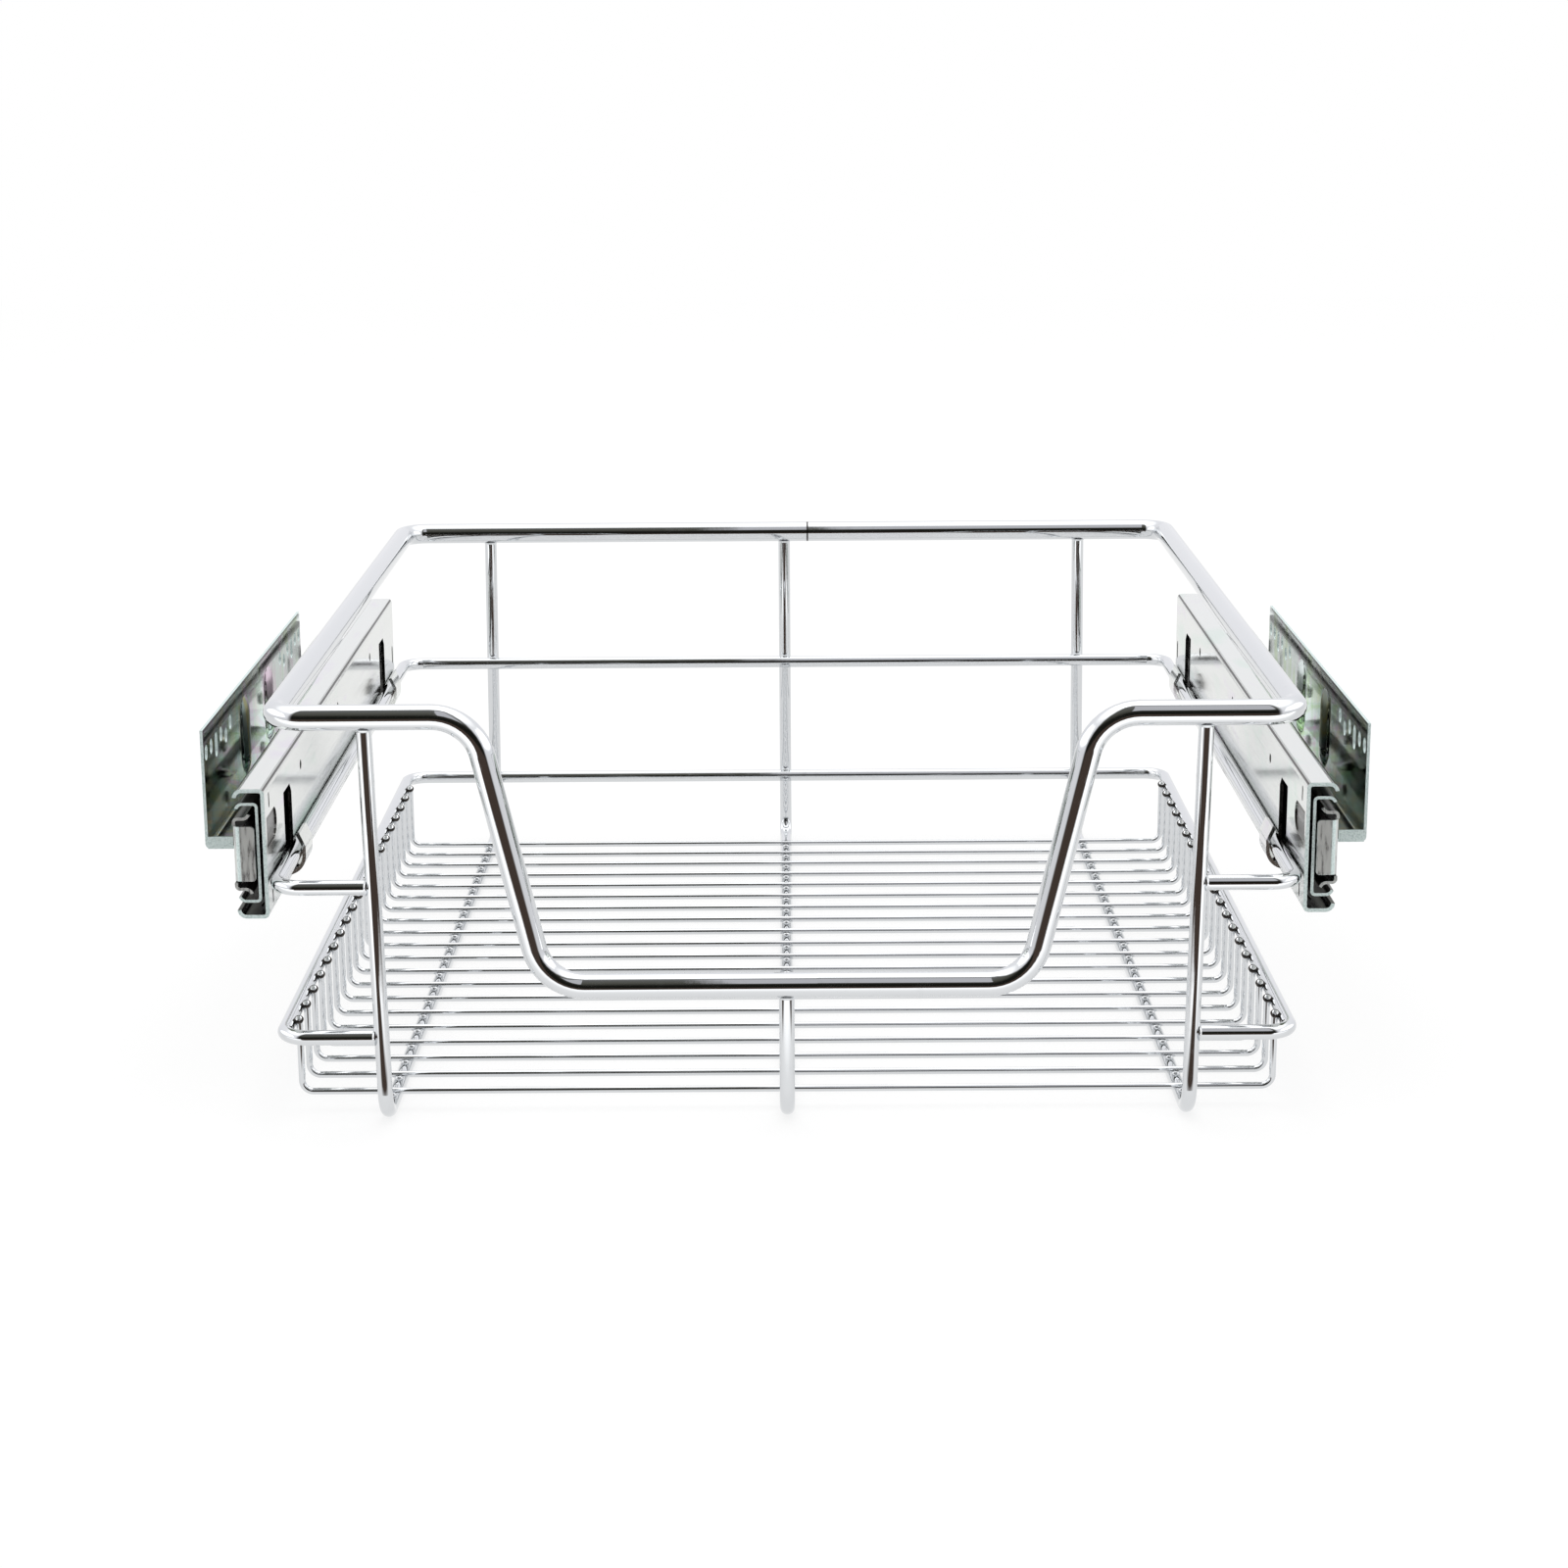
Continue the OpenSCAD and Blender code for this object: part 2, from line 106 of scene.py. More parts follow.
def colour(name, description, value):
    """A colour as six sRGB hex digits."""
    return StringProperty(name=name, description=description, default=value, maxlen=6)


class BasketWires(bpy.types.PropertyGroup):
    """Sizes of the basket's wires"""

    rod_d: length("Rim rod", "Diameter of the top rim's rod", 10, 6, 14)
    frame_d: length("Frame wire", "Diameter of the middle, tray and long wires", 6, 4, 8)
    thin_d: length("Thin wire", "Diameter of the wires across the floor", 2.7, 1.5, 4)
    rim_corner: length("Rim corner", "Bend radius of the rim's corners", 12, 8, 30)
    wire_corner: length("Wire corner", "Bend radius of the frame wires", 10, 6, 20)
    thin_corner: length("Thin corner", "Bend radius of the thin wires", 4.5, 4, 16)
    joint_x: length("Rim joint", "Middle to the butt weld in the rim's rear", 12, 0, 100)
    seam: length("Seam", "Width of the scorched line round that weld", 0.8, 0.2, 2)
    dip_bend: length("Dip bend", "Bend radius of the dipped front", 20, 14, 30)
    dip_top: length("Dip top", "Half width of the dip at its top", 119.5, 60, 160)
    dip_bottom: length("Dip bottom", "Half width of the dip at its bottom", 94.5, 40, 140)
    front_foot_x: length("Front foot", "Middle to a side wire's front foot", 158, 100, 190)
    front_top_x: length("Front top", "Middle to a side wire's front top", 161, 100, 190)
    rear_foot_x: length("Rear foot", "Middle to a side wire's rear foot", 153.5, 100, 190)
    rear_top_x: length("Rear top", "Middle to a side wire's rear top", 152, 100, 190)
    sunk: length("Sunk", "How far a loop's end sinks into the front upright", 0.1, 0, 1)
    dip_sunk: length("Sunk, dip", "How far the centre wire sinks into the dip", 0.3, 0, 1)
    rod_sides: IntProperty(name="Rod facets", description="Facets round the rim's rod",
                           default=40, min=12, max=64)
    sides: IntProperty(name="Wire facets", description="Facets round a frame wire",
                       default=32, min=12, max=64)


class BasketSheet(bpy.types.PropertyGroup):
    """Sizes of the edges and rivets of the sheet parts"""

    edge: length("Edge radius", "Rounding of the sheet's edges", 0.22, 0.05, 0.5)
    plate: length("Plate", "Thickness of the brackets' sheet, with some slack", 1.3, 0.8, 2)
    rivet_head: length("Rivet head", "Diameter of a rivet's head", 7, 4, 9)
    rivet_step: length("Rivet step", "From one rivet to the next", 96, 50, 130)


class BasketColours(bpy.types.PropertyGroup):
    """Colours of the finishes, as sRGB hex"""

    chrome: colour("Chrome", "Chrome plate", "D6D8DA")
    chrome_dull: colour("Chrome, dull", "Dull spots on the chrome plate", "D2D4D6")
    zinc: colour("Zinc", "Bright zinc plate", "DEE0DD")
    zinc_green: colour("Zinc, green", "Green cast of the passivation", "D2DED6")
    zinc_violet: colour("Zinc, violet", "Violet cast of the passivation", "DAD3DE")
    edge: colour("Edge", "Sheared edges of the sheet", "D6E2E0")
    edge_dark: colour("Edge, dark", "Tears in the sheared edges", "A6B8B6")
    # The scorch colours are also used as a painted reflection of the dark room on the thin
    # wires' end beads
    scorch: colour("Scorch", "Weld scale under the chrome plate", "2E2C2A")
    scorch_thin: colour("Scorch, thin", "Thin weld scale", "4E4A47")
    # The grease colours are also painted shade: they darken every hidden face inside the
    # runners
    grease: colour("Grease", "Grease on the zinc inside the runners", "3A3836")
    grease_thin: colour("Grease, thin", "Thin grease inside the runners", "6E6C68")
    runner: colour("Runner", "Zinc plate of the hidden members", "D2D5D3")
    runner_dark: colour("Runner, dark", "Burnished streaks on it", "9C9E9E")
    runner_worn: colour("Runner, worn", "Worn streaks on it", "CACCC8")
    bracket: colour("Bracket", "Thick passivation on the brackets", "879998")
    bracket_green: colour("Bracket, green", "Green cast where it is thick", "6B9F84")
    bracket_gold: colour("Bracket, gold", "Gold cast where it is thick", "A19B64")
    bracket_rose: colour("Bracket, rose", "Rose cast where it is thick", "A5849F")
    bracket_pale: colour("Bracket, pale", "Thin passivation on the brackets", "E6EFEC")
    bracket_lime: colour("Bracket, lime", "Green cast where it is thin", "CDE2BC")
    bracket_pink: colour("Bracket, pink", "Rose cast where it is thin", "E6D3E0")
    ball: colour("Ball", "Polished bearing steel", "C9CBD0")
    rubber: colour("Rubber", "Rubber buffer", "232323")
    rubber_grain: colour("Rubber, grain", "High spots of the buffer's grain", "303030")


class BasketStage(bpy.types.PropertyGroup):
    """Camera, floor and light"""

    lens: FloatProperty(name="Lens", description="Focal length of the camera",
                        default=70.33, min=20, max=200, unit="CAMERA")
    sensor: FloatProperty(name="Sensor", description="Width of the camera's sensor",
                          default=36, min=5, max=100, unit="CAMERA")
    pitch: angle("Pitch", "How far the camera looks down", 14.04)
    yaw: angle("Yaw", "How far the camera looks to the right", -0.043)
    roll: angle("Roll", "Tilt of the picture", -0.368)
    camera_x: length("Camera, right", "Camera's place to the right", 0.3, -5000, 5000)
    camera_y: length("Camera, back", "Camera's place to the back", -1355.1, -5000, 5000)
    camera_z: length("Camera, up", "Camera's height", 422.4, 0, 5000)
    floor_front: length("Floor front", "Place of the floor's front edge", -585, -5000, 0)


# ---- Nodes and materials ---------------------------------------------------------------


def linear(hex_colour):
    """A linear RGBA colour from six sRGB hex digits."""
    parts = [int(hex_colour[k:k + 2], 16) / 255 for k in (0, 2, 4)]
    return tuple(c / 12.92 if c <= 0.04045 else ((c + 0.055) / 1.055) ** 2.4
                 for c in parts) + (1.0,)


def grey(level):
    """A linear grey, where 1 is white."""
    return level, level, level, 1.0


def per(mm):
    """Texture scale for a pattern whose features are this many millimetres across."""
    return 1 / (mm * MM)


def empty_tree(owner):
    """The node tree of a material or a world, with nothing in it."""
    owner.use_nodes = True
    owner.node_tree.nodes.clear()
    return owner.node_tree


def add(tree, kind, inputs=None, stops=(), **settings):
    """Adds a node with its settings, its ramp's stops, and its inputs by name or number.

    An input is a value, a socket, or a node whose first output is meant. A stop is its
    position and its colour, as sRGB hex or as linear RGBA.
    """
    made = tree.nodes.new(kind)
    for key, value in settings.items():
        setattr(made, key, value)
    while stops and len(made.color_ramp.elements) < len(stops):
        made.color_ramp.elements.new(0.5)
    for number, (position, value) in enumerate(stops):
        element = made.color_ramp.elements[number]
        element.position = position
        element.color = linear(value) if isinstance(value, str) else value
    for socket, value in (inputs or {}).items():
        if isinstance(value, bpy.types.Node):
            value = value.outputs[0]
        if isinstance(value, bpy.types.NodeSocket):
            tree.links.new(value, made.inputs[socket])
        else:
            made.inputs[socket].default_value = value
    return made


def chrome_plate(tree, at, look):
    """Bright chrome plate on drawn steel wire, electroplated over the welded basket.

    It mirrors the room in long streaks, which wander a little because the wire was
    straightened from a coil, and it has faint dull spots from handling.
    """
    sway = add(tree, "ShaderNodeTexNoise", {"Vector": at, "Scale": per(38), "Detail": 1.0})
    peel = add(tree, "ShaderNodeTexNoise", {"Vector": at, "Scale": per(1.6), "Detail": 2.0})
    slow = add(tree, "ShaderNodeBump", {
        "Height": sway, "Distance": 0.12 * MM, "Strength": 1.0})
    fine = add(tree, "ShaderNodeBump", {
        "Height": peel, "Distance": 0.002 * MM, "Strength": 1.0, "Normal": slow})
    spots = add(tree, "ShaderNodeTexNoise", {"Vector": at, "Scale": per(7), "Detail": 4.0})
    tint = add(tree, "ShaderNodeValToRGB", {"Fac": spots}, stops=[
        (0.0, look.chrome), (0.62, look.chrome), (0.8, look.chrome_dull)])
    dull = add(tree, "ShaderNodeMapRange", {
        "Value": spots, "From Min": 0.55, "From Max": 0.8, "To Min": 0.035, "To Max": 0.12})
    return {"Base Color": tint, "Metallic": 1.0, "Roughness": dull, "Normal": fine}


def zinc_plate(tree, at, look):
    """Bright zinc plate with clear passivation on rolled strip.

    It is a soft mirror that waves slowly, with faint lines along the rolling direction,
    and the thin passivation film gives it clouds of pale green and violet.
    """
    stretched = add(tree, "ShaderNodeMapping", {"Vector": at, "Scale": (1.0, 0.35, 1.0)})
    clouds = add(tree, "ShaderNodeTexNoise", {
        "Vector": stretched, "Scale": per(22), "Detail": 3.0, "Distortion": 0.8})
    tint = add(tree, "ShaderNodeValToRGB", {"Fac": clouds}, stops=[
        (0.3, look.zinc_green), (0.42, look.zinc), (0.6, look.zinc),
        (0.72, look.zinc_violet)])
    # The rolling lines are about 0.1 mm apart and are drawn at 0.7 mm, so that they show
    along = add(tree, "ShaderNodeMapping", {"Vector": at, "Scale": (1.0, 0.02, 1.0)})
    lines = add(tree, "ShaderNodeTexNoise", {
        "Vector": along, "Scale": per(0.7), "Detail": 2.0})
    rough = add(tree, "ShaderNodeMapRange", {
        "Value": lines, "From Min": 0.3, "From Max": 0.7, "To Min": 0.1, "To Max": 0.16})
    dents = add(tree, "ShaderNodeTexNoise", {
        "Vector": stretched, "Scale": per(45), "Detail": 1.0})
    wavy = add(tree, "ShaderNodeBump", {
        "Height": dents, "Distance": 0.12 * MM, "Strength": 1.0})
    return {"Base Color": tint, "Metallic": 1.0, "Roughness": rough, "Normal": wavy}


def sheared_edge(tree, at, look):
    """The edge that a press tool leaves on plated sheet, and the inside of its holes.

    The steel there is torn and then plated over, so it is as bright as the sheet but
    scatters the light, and it looks pale from every side.
    """
    # Tear marks are about 0.05 mm apart and are drawn at 0.4 mm, so that they show
    tears = add(tree, "ShaderNodeTexNoise", {"Vector": at, "Scale": per(0.4), "Detail": 3.0})
    tint = add(tree, "ShaderNodeValToRGB", {"Fac": tears}, stops=[
        (0.3, look.edge_dark), (0.55, look.edge)])
    torn = add(tree, "ShaderNodeBump", {
        "Height": tears, "Distance": 0.02 * MM, "Strength": 1.0})
    return {"Base Color": tint, "Metallic": 0.6, "Roughness": 0.5, "Normal": torn}


def scorched_weld_and_painted_reflection(tree, at, look):
    """Scale from spot welding, which stays dark brown under the thin chrome plate. On the thin
    wires' end beads it is a painted reflection of the dark room.
    """
    scale = add(tree, "ShaderNodeTexNoise", {"Vector": at, "Scale": per(1), "Detail": 2.0})
    tint = add(tree, "ShaderNodeValToRGB", {"Fac": scale}, stops=[
        (0.3, look.scorch), (0.7, look.scorch_thin)])
    return {"Base Color": tint, "Metallic": 1.0, "Roughness": 0.3}


def greased_zinc_and_painted_shade(tree, at, look):
    """Zinc plate under a film of dark grease where the balls run, and painted shade: it
    darkens every face inside the runners that a member's own flanges hide.
    """
    along = add(tree, "ShaderNodeMapping", {"Vector": at, "Scale": (1.0, 0.05, 1.0)})
    film = add(tree, "ShaderNodeTexNoise", {"Vector": along, "Scale": per(3), "Detail": 3.0})
    tint = add(tree, "ShaderNodeValToRGB", {"Fac": film}, stops=[
        (0.35, look.grease), (0.7, look.grease_thin)])
    rough = add(tree, "ShaderNodeMapRange", {
        "Value": film, "From Min": 0.3, "From Max": 0.7, "To Min": 0.2, "To Max": 0.4})
    return {"Base Color": tint, "Metallic": 1.0, "Roughness": rough}


def runner_zinc(tree, at, look):
    """Zinc plate on the hidden rolled members, greyer and duller than the outer one.

    The ball races are burnished into darker streaks along the travel.
    """
    along = add(tree, "ShaderNodeMapping", {"Vector": at, "Scale": (1.0, 0.03, 0.15)})
    streaks = add(tree, "ShaderNodeTexNoise", {
        "Vector": along, "Scale": per(1.2), "Detail": 4.0})
    tint = add(tree, "ShaderNodeValToRGB", {"Fac": streaks}, stops=[
        (0.3, look.runner_dark), (0.5, look.runner), (0.75, look.runner_worn)])
    rough = add(tree, "ShaderNodeMapRange", {
        "Value": streaks, "From Min": 0.3, "From Max": 0.7, "To Min": 0.24, "To Max": 0.4})
    lined = add(tree, "ShaderNodeBump", {
        "Height": streaks, "Distance": 0.006 * MM, "Strength": 1.0})
    return {"Base Color": tint, "Metallic": 1.0, "Roughness": rough, "Normal": lined}


def bracket_zinc(tree, at, look):
    """Bright zinc on cold-rolled plate, with an iridescent passivation.

    It is nearly a mirror with slow clouds of green, gold and rose. The film drained to
    the front end as the plate dried: it is thick and dark there, and thin at the rear.
    """
    outer_face = CAD_BOX[1].x
    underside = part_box("left_bracket")[0].z
    x, y, z = add(tree, "ShaderNodeSeparateXYZ", {"Vector": at}).outputs
    across = add(tree, "ShaderNodeMath", {0: x}, operation="ABSOLUTE")
    stretched = add(tree, "ShaderNodeMapping", {"Vector": at, "Scale": (1.0, 1.0, 0.35)})
    clouds = add(tree, "ShaderNodeTexNoise", {
        "Vector": stretched, "Scale": per(16), "Detail": 2.0, "Distortion": 0.8})
    thick = add(tree, "ShaderNodeValToRGB", {"Fac": clouds}, stops=[
        (0.32, look.bracket_green), (0.42, look.bracket), (0.5, look.bracket_gold),
        (0.56, look.bracket), (0.68, look.bracket_rose)])
    thin = add(tree, "ShaderNodeValToRGB", {"Fac": clouds}, stops=[
        (0.36, look.bracket_lime), (0.46, look.bracket_pale), (0.54, look.bracket_pale),
        (0.64, look.bracket_pink)])
    # The thick film's colour darkens from the left bracket to the right one
    shade = add(tree, "ShaderNodeMapRange", {
        "Value": x, "From Min": -200 * MM, "From Max": 200 * MM,
        "To Min": 0.88, "To Max": 0.6})
    thick = add(tree, "ShaderNodeVectorMath", {0: thick, "Scale": shade},
                operation="SCALE")
    drained = add(tree, "ShaderNodeMapRange", {
        "Value": y, "From Min": -76 * MM, "From Max": -30 * MM},
        interpolation_type="SMOOTHSTEP")
    tint = add(tree, "ShaderNodeMix", {
        MIX_FACTOR: drained, MIX_A: thick, MIX_B: thin}, data_type="RGBA").outputs[MIXED]
    # The outer face lay against the next plate in the bath, and its film is more even
    even = add(tree, "ShaderNodeMix", {
        MIX_FACTOR: drained, MIX_A: linear(look.bracket),
        MIX_B: linear(look.bracket_pale)}, data_type="RGBA").outputs[MIXED]
    outside = add(tree, "ShaderNodeMapRange", {
        "Value": across, "From Min": outer_face - 0.7 * MM,
        "From Max": outer_face - 0.3 * MM, "To Min": 0.0, "To Max": 0.65})
    tint = add(tree, "ShaderNodeMix", {
        MIX_FACTOR: outside, MIX_A: tint, MIX_B: even}, data_type="RGBA").outputs[MIXED]
    dents = add(tree, "ShaderNodeTexNoise", {"Vector": at, "Scale": per(60), "Detail": 0.0})
    wavy = add(tree, "ShaderNodeBump", {
        "Height": dents, "Distance": 0.06 * MM, "Strength": 1.0})
    scuffs = add(tree, "ShaderNodeTexNoise", {"Vector": at, "Scale": per(9), "Detail": 4.0})
    rough = add(tree, "ShaderNodeMapRange", {
        "Value": scuffs, "From Min": 0.5, "From Max": 0.8, "To Min": 0.05, "To Max": 0.1})
    # The beads are pressed out of the plate's inner face, above its fold, and are duller
    pressed = add(tree, "ShaderNodeMapRange", {
        "Value": across, "From Min": outer_face - 1.3 * MM,
        "From Max": outer_face - 1.8 * MM})
    above = add(tree, "ShaderNodeMapRange", {
        "Value": z, "From Min": underside + 15.5 * MM, "From Max": underside + 17.5 * MM,
        "To Min": 0.0, "To Max": 0.33})
    rough = add(tree, "ShaderNodeMath", {0: pressed, 1: above, 2: rough},
                operation="MULTIPLY_ADD")
    return {"Base Color": tint, "Metallic": 1.0, "Roughness": rough, "Normal": wavy}


def bearing_steel(tree, at, look):
    """Polished bearing steel: a hard, clean mirror, with a trace of grease on it."""
    grease = add(tree, "ShaderNodeTexNoise", {"Vector": at, "Scale": per(2), "Detail": 2.0})
    rough = add(tree, "ShaderNodeMapRange", {"Value": grease, "To Min": 0.05, "To Max": 0.2})
    return {"Base Color": linear(look.ball), "Metallic": 1.0, "Roughness": rough}


def buffer_rubber(tree, at, look):
    """Moulded black rubber: matt, with the fine grain of a spark-eroded mould."""
    grain = add(tree, "ShaderNodeTexNoise", {"Vector": at, "Scale": per(0.5), "Detail": 2.0})
    tint = add(tree, "ShaderNodeValToRGB", {"Fac": grain}, stops=[
        (0.3, look.rubber), (0.7, look.rubber_grain)])
    bump = add(tree, "ShaderNodeBump", {
        "Height": grain, "Distance": 0.02 * MM, "Strength": 1.0})
    return {"Base Color": tint, "Roughness": 0.62, "Normal": bump}


FINISHES = {
    "chrome_wire": ("Chrome plate on steel wire", chrome_plate),
    "bright_zinc": ("Bright passivated zinc plate", zinc_plate),
    "runner_steel": ("Zinc plated runner steel", runner_zinc),
    "bracket_zinc": ("Iridescent zinc plate", bracket_zinc),
    "bearing_steel": ("Polished bearing steel", bearing_steel),
    "rubber": ("Moulded black rubber", buffer_rubber),
    "sheared": ("Sheared zinc plated edge", sheared_edge),
    # The scorch finish is weld scale at the rim's seam, and a painted reflection on the thin
    # wires' end beads
    "scorched": ("Scorched weld under chrome plate", scorched_weld_and_painted_reflection),
    # The grease finish is grease and painted shade on the hidden faces inside the runners
    "grease_and_painted_shade": ("Greased zinc plate", greased_zinc_and_painted_shade),
}
finished = {}


def material(name):
    """The finish of that name, made once: one shader on object coordinates."""
    if name not in finished:
        title, shading = FINISHES[name]
        made = bpy.data.materials.new(title)
        tree = empty_tree(made)
        at = add(tree, "ShaderNodeTexCoord").outputs["Object"]
        shader = add(tree, "ShaderNodeBsdfPrincipled",
                     shading(tree, at, bpy.context.scene.basket_colours))
        add(tree, "ShaderNodeOutputMaterial", {"Surface": shader})
        finished[name] = made
    return finished[name]


def finish(piece, slot):
    """Gives a piece the material of that name, as its only one."""
    piece.data.materials.clear()
    piece.data.materials.append(material(slot))


def partly(piece, name, picked):
    """Gives another finish to the faces that a test of centre, normal, corners picks."""
    piece.data.materials.append(material(name))
    last = len(piece.data.materials) - 1
    vertices = piece.data.vertices
    for face in piece.data.polygons:
        if picked(face.center, face.normal, [vertices[k].co for k in face.vertices]):
            face.material_index = last


# ---- Modelling -------------------------------------------------------------------------


def in_edit(piece, select="SELECT"):
    """Opens one piece in edit mode, with all or nothing of it selected."""
    bpy.ops.object.select_all(action="DESELECT")
    piece.select_set(True)
    bpy.context.view_layer.objects.active = piece
    bpy.ops.object.mode_set(mode="EDIT")
    bpy.ops.mesh.select_mode(type="VERT")
    bpy.ops.mesh.select_all(action=select)


def ring(name, at, along, radius, sides):
    """A ring of vertices square to a direction, open in edit mode and selected."""
    bpy.ops.object.select_all(action="DESELECT")
    bpy.ops.mesh.primitive_circle_add(
        vertices=sides, radius=radius, fill_type="NOTHING", location=at,
        rotation=Vector(along).to_track_quat("Z", "Y").to_euler())
    piece = bpy.context.object
    piece.name = piece.data.name = name
    bpy.ops.object.transform_apply(location=True, rotation=True, scale=True)
    in_edit(piece)
    return piece


def extrude(step):
    """Extrudes what is selected by a step."""
    bpy.ops.mesh.extrude_region_move(TRANSFORM_OT_translate={"value": step})


def close_up(smooth=math.radians(40)):
    """Ends an edit: merges doubles, caps the open ends, turns the faces outwards."""
    bpy.ops.mesh.select_all(action="SELECT")
    bpy.ops.mesh.remove_doubles(threshold=MERGE)
    bpy.ops.mesh.fill_holes(sides=0)
    bpy.ops.mesh.normals_make_consistent(inside=False)
    bpy.ops.object.mode_set(mode="OBJECT")
    bpy.ops.object.shade_smooth_by_angle(angle=smooth)


def even_normals(piece):
    """Has the largest faces lead the shading, so that long straight ones look straight."""
    even = piece.modifiers.new("Even normals", "WEIGHTED_NORMAL")
    even.keep_sharp = True
    bpy.ops.object.modifier_apply(modifier=even.name)


def bend_wire(name, points, bends, thickness, sides, cut=0.25 * MM):
    """Bends a wire along points, with a bend of the given radius at each inner one.

    Its ends are capped, and rounded by the cut's width. A wire whose last point is its
    first one is a closed ring with its joint there.
    """
    points = [Vector(p) for p in points]
    start = (points[1] - points[0]).normalized()
    piece = ring(name, points[0], start, thickness / 2, sides)
    at = points[0]
    for before, corner, after, radius in zip(points, points[1:], points[2:], bends):
        a, b = (corner - before).normalized(), (after - corner).normalized()
        turn = a.angle(b)
        reach = radius * math.tan(turn / 2)
        first = corner - a * reach
        extrude(first - at)
        middle = first + (b - a * a.dot(b)).normalized() * radius
        # With no window, spin turns the other way, so it is given the opposite axis
        bpy.ops.mesh.spin(steps=max(4, round(math.degrees(turn) / BEND_STEP)),
                          angle=turn, center=middle, axis=b.cross(a))
        at = corner + b * reach
    extrude(points[-1] - at)
    closed = (points[-1] - points[0]).length < MERGE
    if not closed:
        bpy.ops.mesh.select_all(action="SELECT")
        bpy.ops.mesh.fill_holes(sides=0)
        bpy.ops.mesh.select_all(action="DESELECT")
        bpy.ops.mesh.select_mode(type="FACE")
        bpy.ops.mesh.select_face_by_sides(number=4, type="GREATER")
        bpy.ops.mesh.bevel(offset=cut, segments=2, affect="EDGES")
    close_up()
    even_normals(piece)
    return piece


def turned(name, at, along, profile, sides, size=1):
    """A turned shape on an axis: its profile is (way along the axis, radius) x size."""
    at, along = Vector(at), Vector(along).normalized()
    way, radius = (number * size for number in profile[0])
    piece = ring(name, at + along * way, along, radius, sides)
    for point in profile[1:]:
        next_way, next_radius = (number * size for number in point)
        extrude(along * (next_way - way))
        wider = next_radius / radius
        bpy.ops.transform.resize(value=(wider, wider, wider),
                                 center_override=at + along * next_way)
        way, radius = next_way, next_radius
    close_up(smooth=math.radians(60))
    return piece


def copied(piece, name, move):
    """A copy of a piece with its own mesh, moved in its mesh."""
    bpy.ops.object.select_all(action="DESELECT")
    piece.select_set(True)
    bpy.context.view_layer.objects.active = piece
    bpy.ops.object.duplicate()
    made = bpy.context.object
    made.name = made.data.name = name
    bpy.ops.transform.translate(value=move)
    bpy.ops.object.transform_apply(location=True, rotation=True, scale=True)
    return made


def joined(pieces, name):
    """Joins pieces into the first one."""
    bpy.ops.object.select_all(action="DESELECT")
    for piece in pieces:
        piece.select_set(True)
    bpy.context.view_layer.objects.active = pieces[0]
    bpy.ops.object.join()
    made = bpy.context.object
    made.name = made.data.name = name
    return made


def softened(node, edge):
    """A copy of a sheet part's CAD mesh, with its facets merged and its edges rounded."""
    piece = bpy.data.objects.new(node.replace("_", "-"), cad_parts[node].data.copy())
    piece.data.name = piece.name
    bpy.context.scene.collection.objects.link(piece)
    in_edit(piece)
    bpy.ops.mesh.remove_doubles(threshold=MERGE)
    bpy.ops.mesh.dissolve_limited(angle_limit=FLAT)
    bpy.ops.object.mode_set(mode="OBJECT")
    rounding = piece.modifiers.new("Rounded edges", "BEVEL")
    rounding.width = edge
    rounding.segments = 2
    rounding.limit_method = "ANGLE"
    rounding.angle_limit = SHARP
    rounding.use_clamp_overlap = True
    bpy.ops.object.modifier_apply(modifier=rounding.name)
    bpy.ops.object.shade_smooth_by_angle(angle=SHARP)
    even_normals(piece)
    return piece


def place(piece, body, slot, *nodes):
    """Finishes a piece, lets it ride on a body, and has it stand for CAD nodes."""
    finish(piece, slot)
    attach(piece, body)
    if nodes:
        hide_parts(*nodes)


def rim_lines():
    """The lines that the rim's centre runs on: right, front, rear, height, dip height."""
    low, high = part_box("top_rim")
    r = bpy.context.scene.basket_wires.rod_d / 2
    return high.x - r, low.y + r, high.y - r, high.z - r, low.z + r


def upright(end, z):
    """How far out a side wire's upright is at a height, at the front or the rear."""
    wires = bpy.context.scene.basket_wires
    foot, top = getattr(wires, end + "_foot_x"), getattr(wires, end + "_top_x")
    return foot + (top - foot) * z / rim_lines()[3]


def floor_nodes():
    """The names of the floor wires' nodes, from the front."""
    return sorted(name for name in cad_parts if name.startswith("floor_wire_"))


# ---- The basket's wires ----------------------------------------------------------------


class BASKET_OT_top_rim(bpy.types.Operator):
    """Bend the top rim from one rod, with its dipped front"""

    bl_idname = "basket.top_rim"
    bl_label = "Top rim"
    bl_options = {"REGISTER", "UNDO"}

    def execute(self, context):
        wires = context.scene.basket_wires
        x, front, rear, z, low = rim_lines()
        top, bottom = wires.dip_top, wires.dip_bottom
        joint, half_seam = Vector((wires.joint_x, rear, z)), wires.seam / 2
        corners = [
            joint, (x, rear, z), (x, front, z), (top, front, z), (bottom, front, low),
            (-bottom, front, low), (-top, front, z), (-x, front, z), (-x, rear, z), joint]
        bends = [wires.rim_corner] * 2 + [wires.dip_bend] * 4 + [wires.rim_corner] * 2
        rim = bend_wire("rim", corners, bends, wires.rod_d, wires.rod_sides)
        in_edit(rim)
        for side in (-1, 1):
            bpy.ops.mesh.select_all(action="SELECT")
            bpy.ops.mesh.bisect(plane_co=joint + X * side * half_seam, plane_no=X)
        bpy.ops.object.mode_set(mode="OBJECT")
        place(rim, "basket", "chrome_wire", "top_rim")
        partly(rim, "scorched", lambda at, normal, corners: (
            at.y > 0 and abs(at.x - joint.x) < half_seam))
        return {"FINISHED"}


